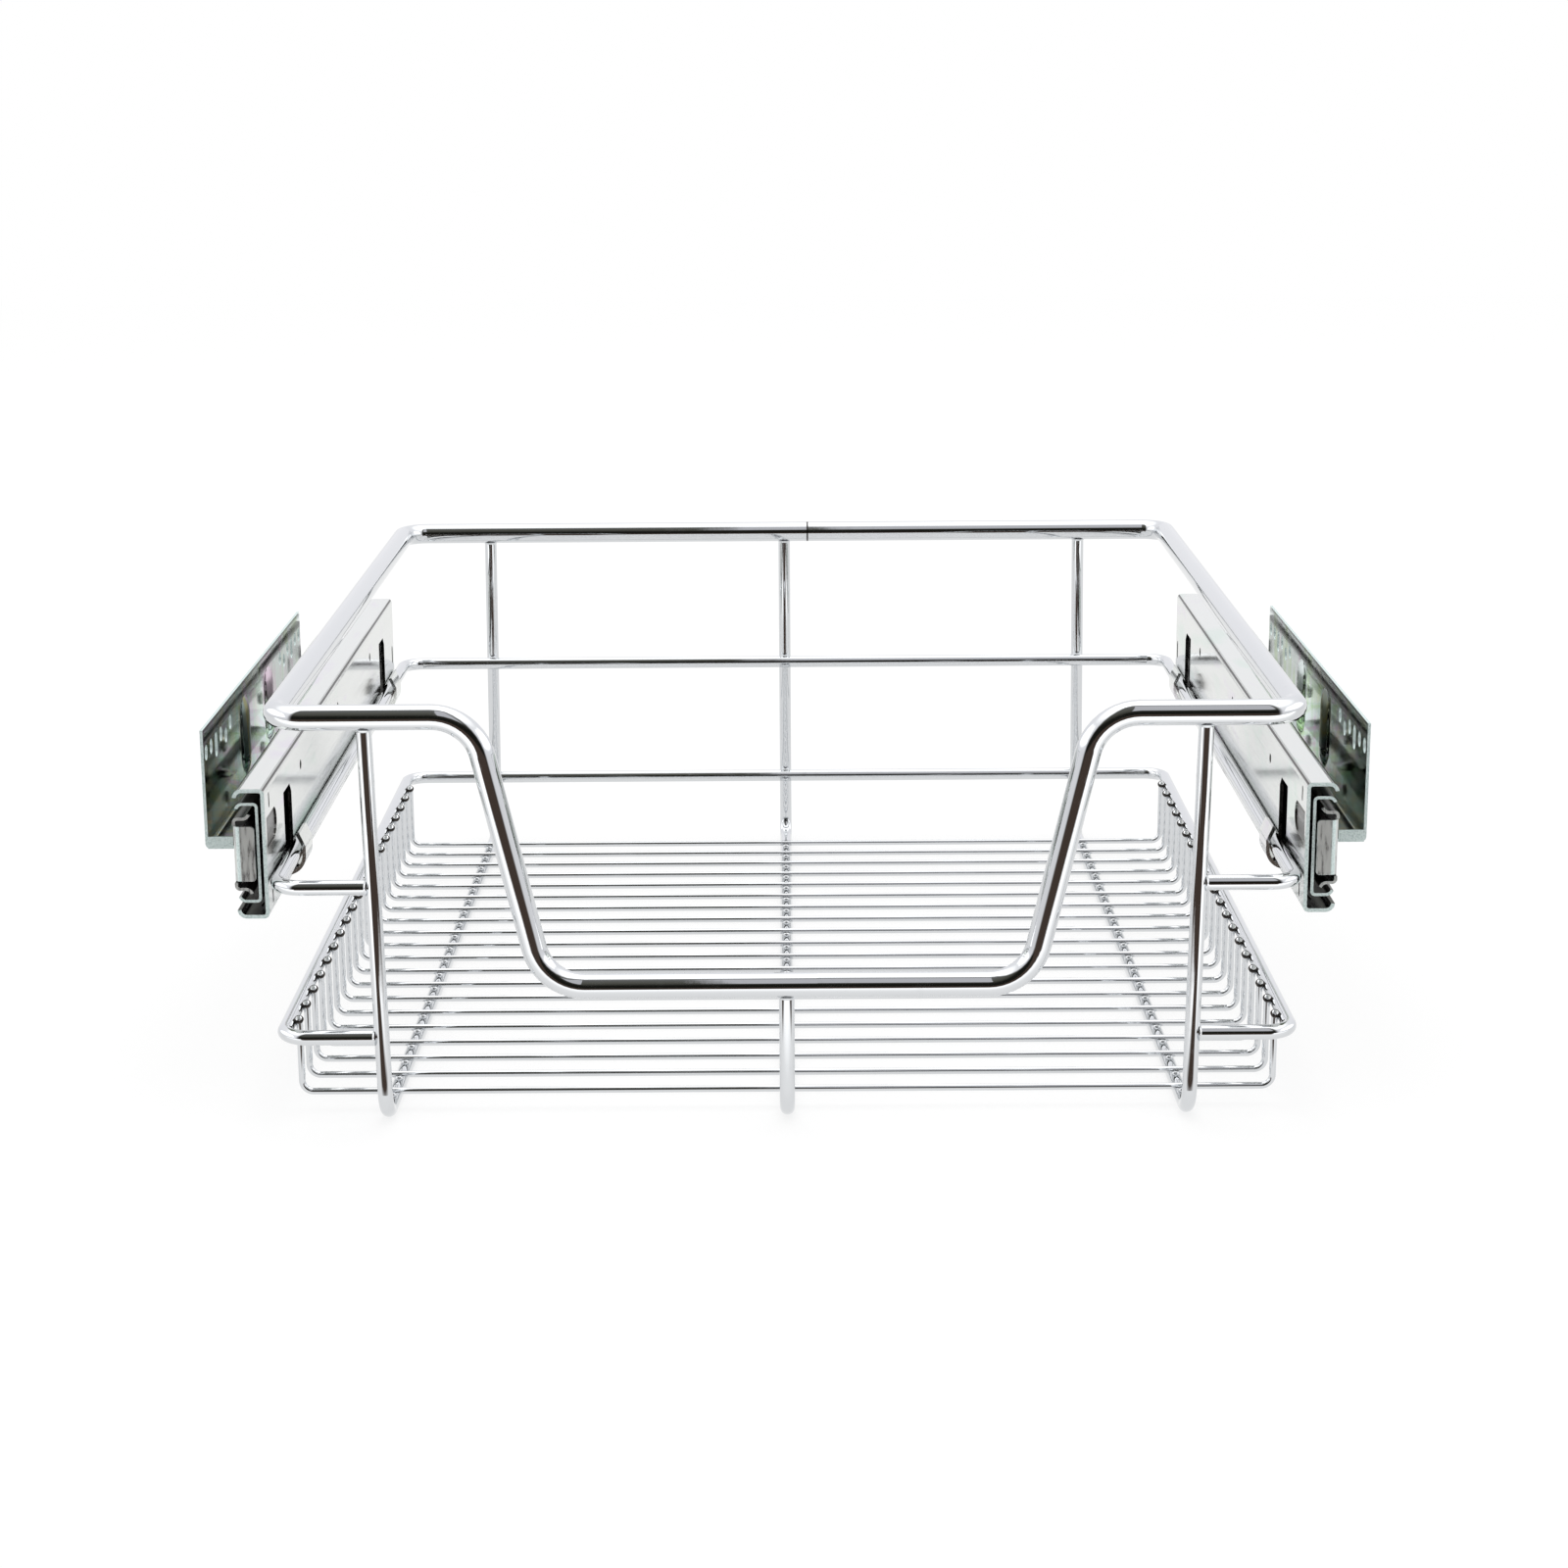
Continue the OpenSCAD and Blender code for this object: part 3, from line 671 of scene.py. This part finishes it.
class BASKET_OT_side_loops(bpy.types.Operator):
    """Bend the middle wire and the tray rim, which run round the back and the sides"""

    bl_idname = "basket.side_loops"
    bl_label = "Middle wire and tray rim"
    bl_options = {"REGISTER", "UNDO"}

    def execute(self, context):
        wires = context.scene.basket_wires
        for node in ("middle_wire", "tray_rim"):
            low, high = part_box(node)
            r = wires.frame_d / 2
            x, front, rear, z = high.x - r, low.y + r, high.y - r, (low.z + high.z) / 2
            end = upright("front", z) + r - wires.sunk
            loop = bend_wire(node.replace("_", "-"), [
                (-end, front, z), (-x, front, z), (-x, rear, z),
                (x, rear, z), (x, front, z), (end, front, z)],
                [wires.wire_corner] * 4, wires.frame_d, wires.sides)
            place(loop, "basket", "chrome_wire", node)
        return {"FINISHED"}


class BASKET_OT_long_wires(bpy.types.Operator):
    """Bend the three long wires that run down the back, under the floor and up the front"""

    bl_idname = "basket.long_wires"
    bl_label = "Long wires"
    bl_options = {"REGISTER", "UNDO"}

    def execute(self, context):
        wires = context.scene.basket_wires
        front, rear = rim_lines()[1:3]
        for word, side in (("left", -1), ("centre", 0), ("right", 1)):
            node = word + "_long_wire"
            low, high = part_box(node)
            foot = low.z + wires.frame_d / 2
            front_top = high.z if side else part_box("top_rim")[0].z + wires.dip_sunk
            wire = bend_wire(node.replace("_", "-"), [
                (side * wires.front_top_x, front, front_top),
                (side * wires.front_foot_x, front, foot),
                (side * wires.rear_foot_x, rear, foot),
                (side * wires.rear_top_x, rear, high.z)],
                [wires.wire_corner] * 2, wires.frame_d, wires.sides)
            place(wire, "basket", "chrome_wire", node)
        return {"FINISHED"}


class BASKET_OT_floor_wires(bpy.types.Operator):
    """Bend the first thin floor wire and copy it along the basket"""

    bl_idname = "basket.floor_wires"
    bl_label = "Floor wires"
    bl_options = {"REGISTER", "UNDO"}

    def execute(self, context):
        wires = context.scene.basket_wires
        nodes = floor_nodes()
        low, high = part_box(nodes[0])
        r = wires.thin_d / 2
        x, y, z = high.x - r, (low.y + high.y) / 2, low.z + r
        first = bend_wire("floor-wire-01", [
            (-x, y, high.z), (-x, y, z), (x, y, z), (x, y, high.z)],
            [wires.thin_corner] * 2, wires.thin_d, wires.sides // 2)
        for node in nodes:
            wire = first
            if node != nodes[0]:
                wire = copied(first, node.replace("_", "-"), Y * (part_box(node)[0].y - low.y))
            place(wire, "basket", "chrome_wire", node)
        return {"FINISHED"}


class BASKET_OT_welds(bpy.types.Operator):
    """Add the metal that resistance welding squeezes out where wires cross or meet"""

    bl_idname = "basket.welds"
    bl_label = "Welds"
    bl_options = {"REGISTER", "UNDO"}

    # Profiles for a radius of about 1. A nugget is a lens of metal between two wires that
    # cross, a collar is a fillet round the end of a wire that butts against another one,
    # and a bead is the melted end of a thin wire
    nugget = ((-0.55, 0.45), (-0.3, 0.9), (0, 1.05), (0.3, 0.9), (0.55, 0.45))
    collar = ((-0.14, 1.003), (-0.06, 1.03), (0.02, 1.1), (0.12, 1.12), (0.25, 0.9))
    bead = ((-0.6, 0.5), (-0.3, 0.85), (0.1, 1), (0.38, 0.88), (0.54, 0.62), (0.58, 0.44))
    # Their sizes in radii of the wire, and how far a bead's middle is in from the end of its
    # wire, to the front and down
    floor_nugget, rear_nugget, bead_size = 1.5, 1.05, 1.45
    bead_in, bead_forward, bead_down = 0.9, 0.35, 0.75
    # The beads lie within this room of the rim's sides. Their flat tops look up and forward
    # and keep the chrome.
    # The faces that look that way by less than this cosine get the dark scorch finish, which
    # is a painted reflection.
    bead_room = 8 * MM
    bead_axis = Vector((0, -0.643, 0.766))
    bead_top = 0.9

    def floor_welds(self, wires):
        """A nugget at each crossing of the floor wires, and a bead at each of their ends."""
        rim_x, front, rear = rim_lines()[:3]
        r = wires.thin_d / 2
        first, *others = floor_nodes()
        low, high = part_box(first)
        y = (low.y + high.y) / 2
        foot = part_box("left_long_wire")[0].z + wires.frame_d
        slant = (wires.rear_foot_x - wires.front_foot_x) / (rear - front)
        crossing = wires.front_foot_x + slant * (y - front)
        row = [turned("nugget", (side * crossing, y, foot), Z, self.nugget, 12,
                      self.floor_nugget * r) for side in (-1, 0, 1)]
        for side in (-1, 1):
            end = (side * (high.x - self.bead_in * r), y - self.bead_forward * r,
                   high.z - self.bead_down * r)
            row.append(turned("bead", end, self.bead_axis, self.bead, 16,
                              self.bead_size * r))
        rows = [joined(row, first.replace("_wire_", "-welds-"))]
        for node in others:
            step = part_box(node)[0].y - low.y
            made = copied(rows[0], node.replace("_wire_", "-welds-"), Y * step)
            # The nuggets of the side wires follow their slant
            for vertex in made.data.vertices:
                at = vertex.co
                if abs(at.z - foot) < 2 * r and abs(at.x) > crossing / 2:
                    at.x += slant * math.copysign(step, at.x)
            rows.append(made)
        welds = joined(rows, "floor-welds")
        place(welds, "basket", "chrome_wire")
        # Painted reflection: the bead faces that don't look up and forward get the dark scorch
        # finish, standing in for the dark room mirrored in the chrome
        partly(welds, "scorched", lambda at, normal, corners: (
            abs(at.x) > rim_x - self.bead_room
            and normal.dot(self.bead_axis) < self.bead_top))

    def frame_welds(self, wires):
        """A nugget behind each rear crossing, and a collar round each end that butts."""
        front, rear, z, dip = rim_lines()[1:]
        r = wires.frame_d / 2
        nuggets, ends = [], []
        for node in ("tray_rim", "middle_wire"):
            low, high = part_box(node)
            middle = (low.z + high.z) / 2
            nuggets += [(side * upright("rear", middle), high.y, middle)
                        for side in (-1, 0, 1)]
            ends += [((side * (upright("front", middle) + r), front, middle), X * -side)
                     for side in (-1, 1)]
        under = z - wires.rod_d / 2
        ends += [((side * wires.front_top_x, front, under), Z) for side in (-1, 1)]
        ends += [((side * wires.rear_top_x, rear, under), Z) for side in (-1, 0, 1)]
        ends.append(((0, front, dip - wires.rod_d / 2), Z))
        welds = [turned("nugget", at, Y, self.nugget, 12, self.rear_nugget * r)
                 for at in nuggets]
        welds += [turned("collar", at, along, self.collar, 24, r) for at, along in ends]
        place(joined(welds, "frame-welds"), "basket", "chrome_wire")

    def execute(self, context):
        self.floor_welds(context.scene.basket_wires)
        self.frame_welds(context.scene.basket_wires)
        return {"FINISHED"}


# ---- The runners and brackets ----------------------------------------------------------


class BASKET_OT_runners(bpy.types.Operator):
    """Soften the edges of the runners' members and buffers, and finish cages and balls"""

    bl_idname = "basket.runners"
    bl_label = "Runners"
    bl_options = {"REGISTER", "UNDO"}

    # From the middle of the rim's side rod out to the web of a drawer member
    web_out = 5.3 * MM
    # Faces this near to the web, a flange or the cabinet's side are seen, not hidden
    skin = 0.3 * MM
    # Sheared faces are this near to a member's end, and as thin as the sheet or as tall as
    # the member, which its folded tab isn't
    end_near, sheet_most, tab_most = 0.5 * MM, 3 * MM, 30 * MM

    def sheared(self, low, high):
        """A test that picks the sheared ends of a member, but not its folded tab."""
        def picked(at, normal, corners):
            if abs(normal.y) < 0.6 or min(at.y - low.y, high.y - at.y) > self.end_near:
                return False
            wide, tall = (max(c[k] for c in corners) - min(c[k] for c in corners)
                          for k in (0, 2))
            return wide < self.sheet_most or tall < self.sheet_most or tall > self.tab_most

        return picked

    def inside(self, part, low, high):
        """A test that picks the faces of a member which its own flanges hide; these get grease
        and painted shade.
        """
        wall = max(abs(low.x), abs(high.x))
        web = rim_lines()[0] + self.web_out

        def picked(at, normal, corners):
            if part == "drawer_member":
                hidden = web + self.skin < abs(at.x) < wall - self.skin
                return hidden and min(at.z - low.z, high.z - at.z) > self.skin
            return abs(at.x) < wall - self.skin and at.y > low.y + self.sheet_most

        return picked

    def execute(self, context):
        edge = context.scene.basket_sheet.edge
        for side in SIDES:
            for part, body, slot in (
                    ("drawer_member", "basket", "bright_zinc"),
                    ("middle_member", side + "_middle", "runner_steel"),
                    ("cabinet_member", "cabinet_side", "runner_steel"),
                    ("end_buffer", "cabinet_side", "rubber")):
                node = side + "_" + part
                low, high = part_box(node)
                piece = softened(node, edge)
                place(piece, body, slot, node)
                if slot != "rubber":
                    # The faces that the flanges hide get grease and painted shade, dark as the
                    # runner's inside is in shade
                    partly(piece, "grease_and_painted_shade", self.inside(part, low, high))
                    partly(piece, "sheared", self.sheared(low, high))
            for row in ("outer", "inner"):
                finish(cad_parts[side + "_" + row + "_ball_cage"], "bright_zinc")
                finish(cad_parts[side + "_" + row + "_balls"], "bearing_steel")
        return {"FINISHED"}


class BASKET_OT_brackets(bpy.types.Operator):
    """Soften the folded brackets' edges and set their rivets"""

    bl_idname = "basket.brackets"
    bl_label = "Brackets"
    bl_options = {"REGISTER", "UNDO"}

    # Half a rivet's profile: (mm in from its end, share of its head's radius)
    rivet = ((0, 0.45), (0.1, 0.66), (0.35, 0.88), (0.75, 1), (1.1, 1), (1.1, 0.57))
    # How near to a bracket's ends its sheared faces are
    end_near = 0.5 * MM

    def execute(self, context):
        sheet = context.scene.basket_sheet
        for side in SIDES:
            node = side + "_bracket"
            low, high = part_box(node)
            wall = max(abs(low.x), abs(high.x))
            piece = softened(node, sheet.edge)
            place(piece, "cabinet_side", "bracket_zinc", node)
            # Its sheared faces are those at its ends, and those that cross the outer plate
            partly(piece, "sheared", lambda at, normal, corners: (
                abs(normal.y) > 0.6 and min(at.y - low.y, high.y - at.y) < self.end_near
                or abs(normal.x) < 0.3 and all(
                    wall - abs(c.x) < sheet.plate for c in corners)))
            node = side + "_rivets"
            low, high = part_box(node)
            middle, half = (low + high) / 2, (high.x - low.x) / 2
            profile = [(way * MM - half, share * sheet.rivet_head / 2)
                       for way, share in self.rivet]
            profile += [(-way, radius) for way, radius in reversed(profile)]
            rivets = [turned("rivet", middle + Y * step * sheet.rivet_step, X, profile, 24)
                      for step in (-1, 0, 1)]
            place(joined(rivets, side + "-rivets"), "cabinet_side", "runner_steel", node)
        return {"FINISHED"}


# ---- Stage -----------------------------------------------------------------------------


# How bright metal sees the floor, as (place along Y, grey)
FLOOR_GREYS = ((-0.45, 1.7), (-0.37, 1.7), (-0.27, 1.08), (-0.2, 0.97), (0.05, 0.97))
# What metal sees of the room ahead of the basket, towards the camera, and of the rest of it,
# as (sine of the elevation, grey, red for each unit of it, blue for each unit of it)
DARK_HALF = (
    (-1.0, 0.8, 1, 1), (-0.7, 0.5, 1, 1), (-0.5, 0.05, 1.4, 0.8), (-0.12, 0.05, 1.4, 0.8),
    (-0.04, 0.012, 1, 0.8), (0.31, 0.012, 1, 0.8), (0.66, 0.1, 1, 0.85),
    (0.89, 0.14, 1, 0.95), (0.954, 0.21, 1, 1), (0.992, 0.5, 1, 1), (1.0, 0.83, 1, 1))
LIGHT_HALF = (
    (-1.0, 0.85, 1, 1.02), (-0.1, 0.85, 1, 1.02), (0.1, 1.0, 1, 1.03), (0.35, 1.02, 1, 1.03),
    (0.6, 1.1, 1, 1.02), (0.8, 1.7, 1, 1), (0.9, 1.5, 1, 1), (0.956, 1.28, 1, 1),
    (0.99, 0.95, 1, 1), (1.0, 0.83, 1, 1))
# Linear colours of the dark flag over the floor, the strip light and the side softboxes
FLAG = (0.07, 0.05, 0.04, 1.0)
STRIP_LIGHT = (0.62, 0.62, 0.65, 1.0)
SOFTBOX = (1.7, 1.7, 1.7, 1.0)


class BASKET_OT_stage(bpy.types.Operator):
    """Set the floor, the studio light and the camera"""

    bl_idname = "basket.stage"
    bl_label = "Stage"
    bl_options = {"REGISTER", "UNDO"}

    def floor(self, stage):
        """A plain white floor that ends in front of the basket, with a soft shadow.

        The eye sees it white. Metal sees it brighter in front of the basket. Where metal
        looks at it there at a low angle, it sees a dark flag, which widens away from the
        basket and has a notch before its middle.
        """
        bpy.ops.object.select_all(action="DESELECT")
        size, drop = 4.0, 0.2 * MM
        # How much the flag widens for each unit away, and how white the eye sees the floor
        flare, whitened = 0.6, 0.75
        bpy.ops.mesh.primitive_grid_add(
            x_subdivisions=8, y_subdivisions=8, size=size,
            location=(0, stage.floor_front + size / 2, -drop))
        floor = bpy.context.object
        floor.name = "floor"
        bpy.ops.object.transform_apply(location=True, rotation=True, scale=True)
        made = bpy.data.materials.new("White studio floor")
        tree = empty_tree(made)
        at = add(tree, "ShaderNodeTexCoord").outputs["Object"]
        x, y, _ = add(tree, "ShaderNodeSeparateXYZ", {"Vector": at}).outputs
        across = add(tree, "ShaderNodeMath", {0: x}, operation="ABSOLUTE")
        near, far = FLOOR_GREYS[0][0], FLOOR_GREYS[-1][0]
        along = add(tree, "ShaderNodeMapRange", {
            "Value": y, "From Min": near, "From Max": far})
        lit = add(tree, "ShaderNodeValToRGB", {"Fac": along}, stops=[
            ((spot - near) / (far - near), grey(level)) for spot, level in FLOOR_GREYS])
        facing = add(tree, "ShaderNodeLayerWeight").outputs["Facing"]
        spread = add(tree, "ShaderNodeMath", {0: y, 1: flare, 2: across},
                     operation="MULTIPLY_ADD")
        # The flag shows at low angles, in front of the basket and within its flare, and its
        # notch ends at lower angles still, beyond it and beside it
        low, lower, front, beyond, beside, within = (
            add(tree, "ShaderNodeMapRange", {
                "Value": value, "From Min": start, "From Max": end})
            for value, start, end in (
                (facing, 0.62, 0.66), (facing, 0.7, 0.74), (y, -0.24, -0.26),
                (y, -0.375, -0.42), (across, 0.09, 0.13), (spread, 0.055, 0.03)))
        flagged = beside
        for edge, operation in ((lower, "MAXIMUM"), (beyond, "MAXIMUM"), (low, "MULTIPLY"),
                                (front, "MULTIPLY"), (within, "MULTIPLY")):
            flagged = add(tree, "ShaderNodeMath", {0: flagged, 1: edge}, operation=operation)
        mirrored = add(tree, "ShaderNodeMix", {
            MIX_FACTOR: flagged, MIX_A: lit, MIX_B: FLAG}, data_type="RGBA").outputs[MIXED]
        path = add(tree, "ShaderNodeLightPath")
        glowing = add(tree, "ShaderNodeMath", {
            0: path.outputs["Is Camera Ray"], 1: whitened}, operation="MULTIPLY")
        to_eye = add(tree, "ShaderNodeMixShader", {
            0: glowing, 1: add(tree, "ShaderNodeBsdfDiffuse", {"Color": grey(0.98)}),
            2: add(tree, "ShaderNodeEmission", {"Color": grey(1), "Strength": 1.0})})
        to_metal = add(tree, "ShaderNodeEmission", {"Color": mirrored, "Strength": 1.0})
        seen = add(tree, "ShaderNodeMixShader", {
            0: path.outputs["Is Glossy Ray"], 1: to_eye, 2: to_metal})
        add(tree, "ShaderNodeOutputMaterial", {"Surface": seen})
        floor.data.materials.append(made)

    def world(self, scene):
        """White to the eye. Metal sees a studio: a white tent above and behind, softboxes
        at both sides, and the dark half of the room on the camera's side with one strip."""
        scene.world = bpy.data.worlds.new("Studio")
        tree = empty_tree(scene.world)
        way = add(tree, "ShaderNodeTexCoord").outputs["Generated"]
        x, y, z = add(tree, "ShaderNodeSeparateXYZ", {"Vector": way}).outputs
        across = add(tree, "ShaderNodeMath", {0: x}, operation="ABSOLUTE")
        flat = add(tree, "ShaderNodeCombineXYZ", {"X": x, "Y": y})
        heading = add(tree, "ShaderNodeVectorMath", {0: flat}, operation="NORMALIZE")
        ahead = add(tree, "ShaderNodeSeparateXYZ", {"Vector": heading}).outputs["Y"]
        height = add(tree, "ShaderNodeMapRange", {
            "Value": z, "From Min": -1.0, "From Max": 1.0})
        light, dark = (
            add(tree, "ShaderNodeValToRGB", {"Fac": height}, stops=[
                ((sine + 1) / 2, (level * red, level, level * blue, 1.0))
                for sine, level, red, blue in half])
            for half in (LIGHT_HALF, DARK_HALF))
        room = light
        # Each layer lies over the room inside its edges: (along, outer side, inner side)
        for layer, edges in (
                (dark, ((ahead, -0.66, -0.84),)),
                (STRIP_LIGHT, ((z, 0.46, 0.56), (z, 0.97, 0.93), (ahead, -0.84, -0.92),
                               (x, -0.014, 0.004))),
                (SOFTBOX, ((across, 0.74, 0.8), (z, 0.1, 0.18), (z, 0.62, 0.54)))):
            within = 1.0
            for value, outer, inner in edges:
                edge = add(tree, "ShaderNodeMapRange", {
                    "Value": value, "From Min": outer, "From Max": inner},
                    interpolation_type="SMOOTHSTEP")
                within = add(tree, "ShaderNodeMath", {0: within, 1: edge},
                             operation="MULTIPLY")
            room = add(tree, "ShaderNodeMix", {
                MIX_FACTOR: within, MIX_A: room, MIX_B: layer},
                data_type="RGBA").outputs[MIXED]
        path = add(tree, "ShaderNodeLightPath").outputs
        mirrored = add(tree, "ShaderNodeMath", {
            0: path["Is Glossy Ray"], 1: path["Is Transmission Ray"]}, operation="MAXIMUM")
        seen = add(tree, "ShaderNodeMix", {
            MIX_FACTOR: mirrored, MIX_A: grey(1), MIX_B: room},
            data_type="RGBA").outputs[MIXED]
        glow = add(tree, "ShaderNodeBackground", {"Color": seen, "Strength": 1.0})
        add(tree, "ShaderNodeOutputWorld", {"Surface": glow})

    def lamp(self, name, at, size, power):
        """A soft square lamp that looks at the basket."""
        bpy.ops.object.light_add(type="AREA", location=at)
        lamp = bpy.context.object
        lamp.name = name
        lamp.data.size = size
        lamp.data.energy = power
        aim = Vector((0, 0, 50 * MM)) - Vector(at)
        lamp.rotation_euler = aim.to_track_quat("-Z", "Y").to_euler()

    def camera(self, stage):
        """The camera, turned by its yaw, then its pitch, then its roll."""
        turn = (Matrix.Rotation(-stage.yaw, 3, "Z")
                @ Matrix.Rotation(math.pi / 2 - stage.pitch, 3, "X")
                @ Matrix.Rotation(stage.roll, 3, "Z"))
        bpy.ops.object.camera_add(
            location=(stage.camera_x, stage.camera_y, stage.camera_z),
            rotation=turn.to_euler())
        camera = bpy.context.object
        camera.name = "camera"
        camera.data.lens = stage.lens
        camera.data.sensor_width = stage.sensor
        camera.data.clip_start = 10 * MM
        return camera

    def execute(self, context):
        stage = context.scene.basket_stage
        self.floor(stage)
        self.world(context.scene)
        self.lamp("overhead softbox", at=(0, 0.25, 1.9), size=1.6, power=9)
        context.scene.camera = self.camera(stage)
        context.scene.view_settings.view_transform = "Standard"
        return {"FINISHED"}


class BASKET_PT_sidebar(bpy.types.Panel):
    """The basket's pieces and sizes in the sidebar"""

    bl_idname = "BASKET_PT_sidebar"
    bl_label = "Pull-out basket"
    bl_space_type = "VIEW_3D"
    bl_region_type = "UI"
    bl_category = "Basket"

    def draw(self, context):
        for group in GROUPS:
            box = self.layout.box()
            values = getattr(context.scene, group)
            for key in values.bl_rna.properties.keys():
                if key not in ("rna_type", "name"):
                    box.prop(values, key)
        for operator in OPERATORS:
            self.layout.operator(operator.bl_idname)


GROUPS = {
    "basket_wires": BasketWires,
    "basket_sheet": BasketSheet,
    "basket_colours": BasketColours,
    "basket_stage": BasketStage,
}
OPERATORS = (
    BASKET_OT_top_rim,
    BASKET_OT_side_loops,
    BASKET_OT_long_wires,
    BASKET_OT_floor_wires,
    BASKET_OT_welds,
    BASKET_OT_runners,
    BASKET_OT_brackets,
    BASKET_OT_stage,
)


def register():
    """Registers the classes and puts their settings on the scene."""
    for kind in (*GROUPS.values(), *OPERATORS, BASKET_PT_sidebar):
        bpy.utils.register_class(kind)
    for name, kind in GROUPS.items():
        setattr(bpy.types.Scene, name, PointerProperty(type=kind))


def unregister():
    """Takes the settings and the classes away again."""
    for name in GROUPS:
        delattr(bpy.types.Scene, name)
    for kind in reversed((*GROUPS.values(), *OPERATORS, BASKET_PT_sidebar)):
        bpy.utils.unregister_class(kind)


def main():
    """Builds every piece and the stage."""
    register()
    bpy.ops.basket.top_rim()
    bpy.ops.basket.side_loops()
    bpy.ops.basket.long_wires()
    bpy.ops.basket.floor_wires()
    bpy.ops.basket.welds()
    bpy.ops.basket.runners()
    bpy.ops.basket.brackets()
    bpy.ops.basket.stage()


if __name__ == "__main__":
    main()
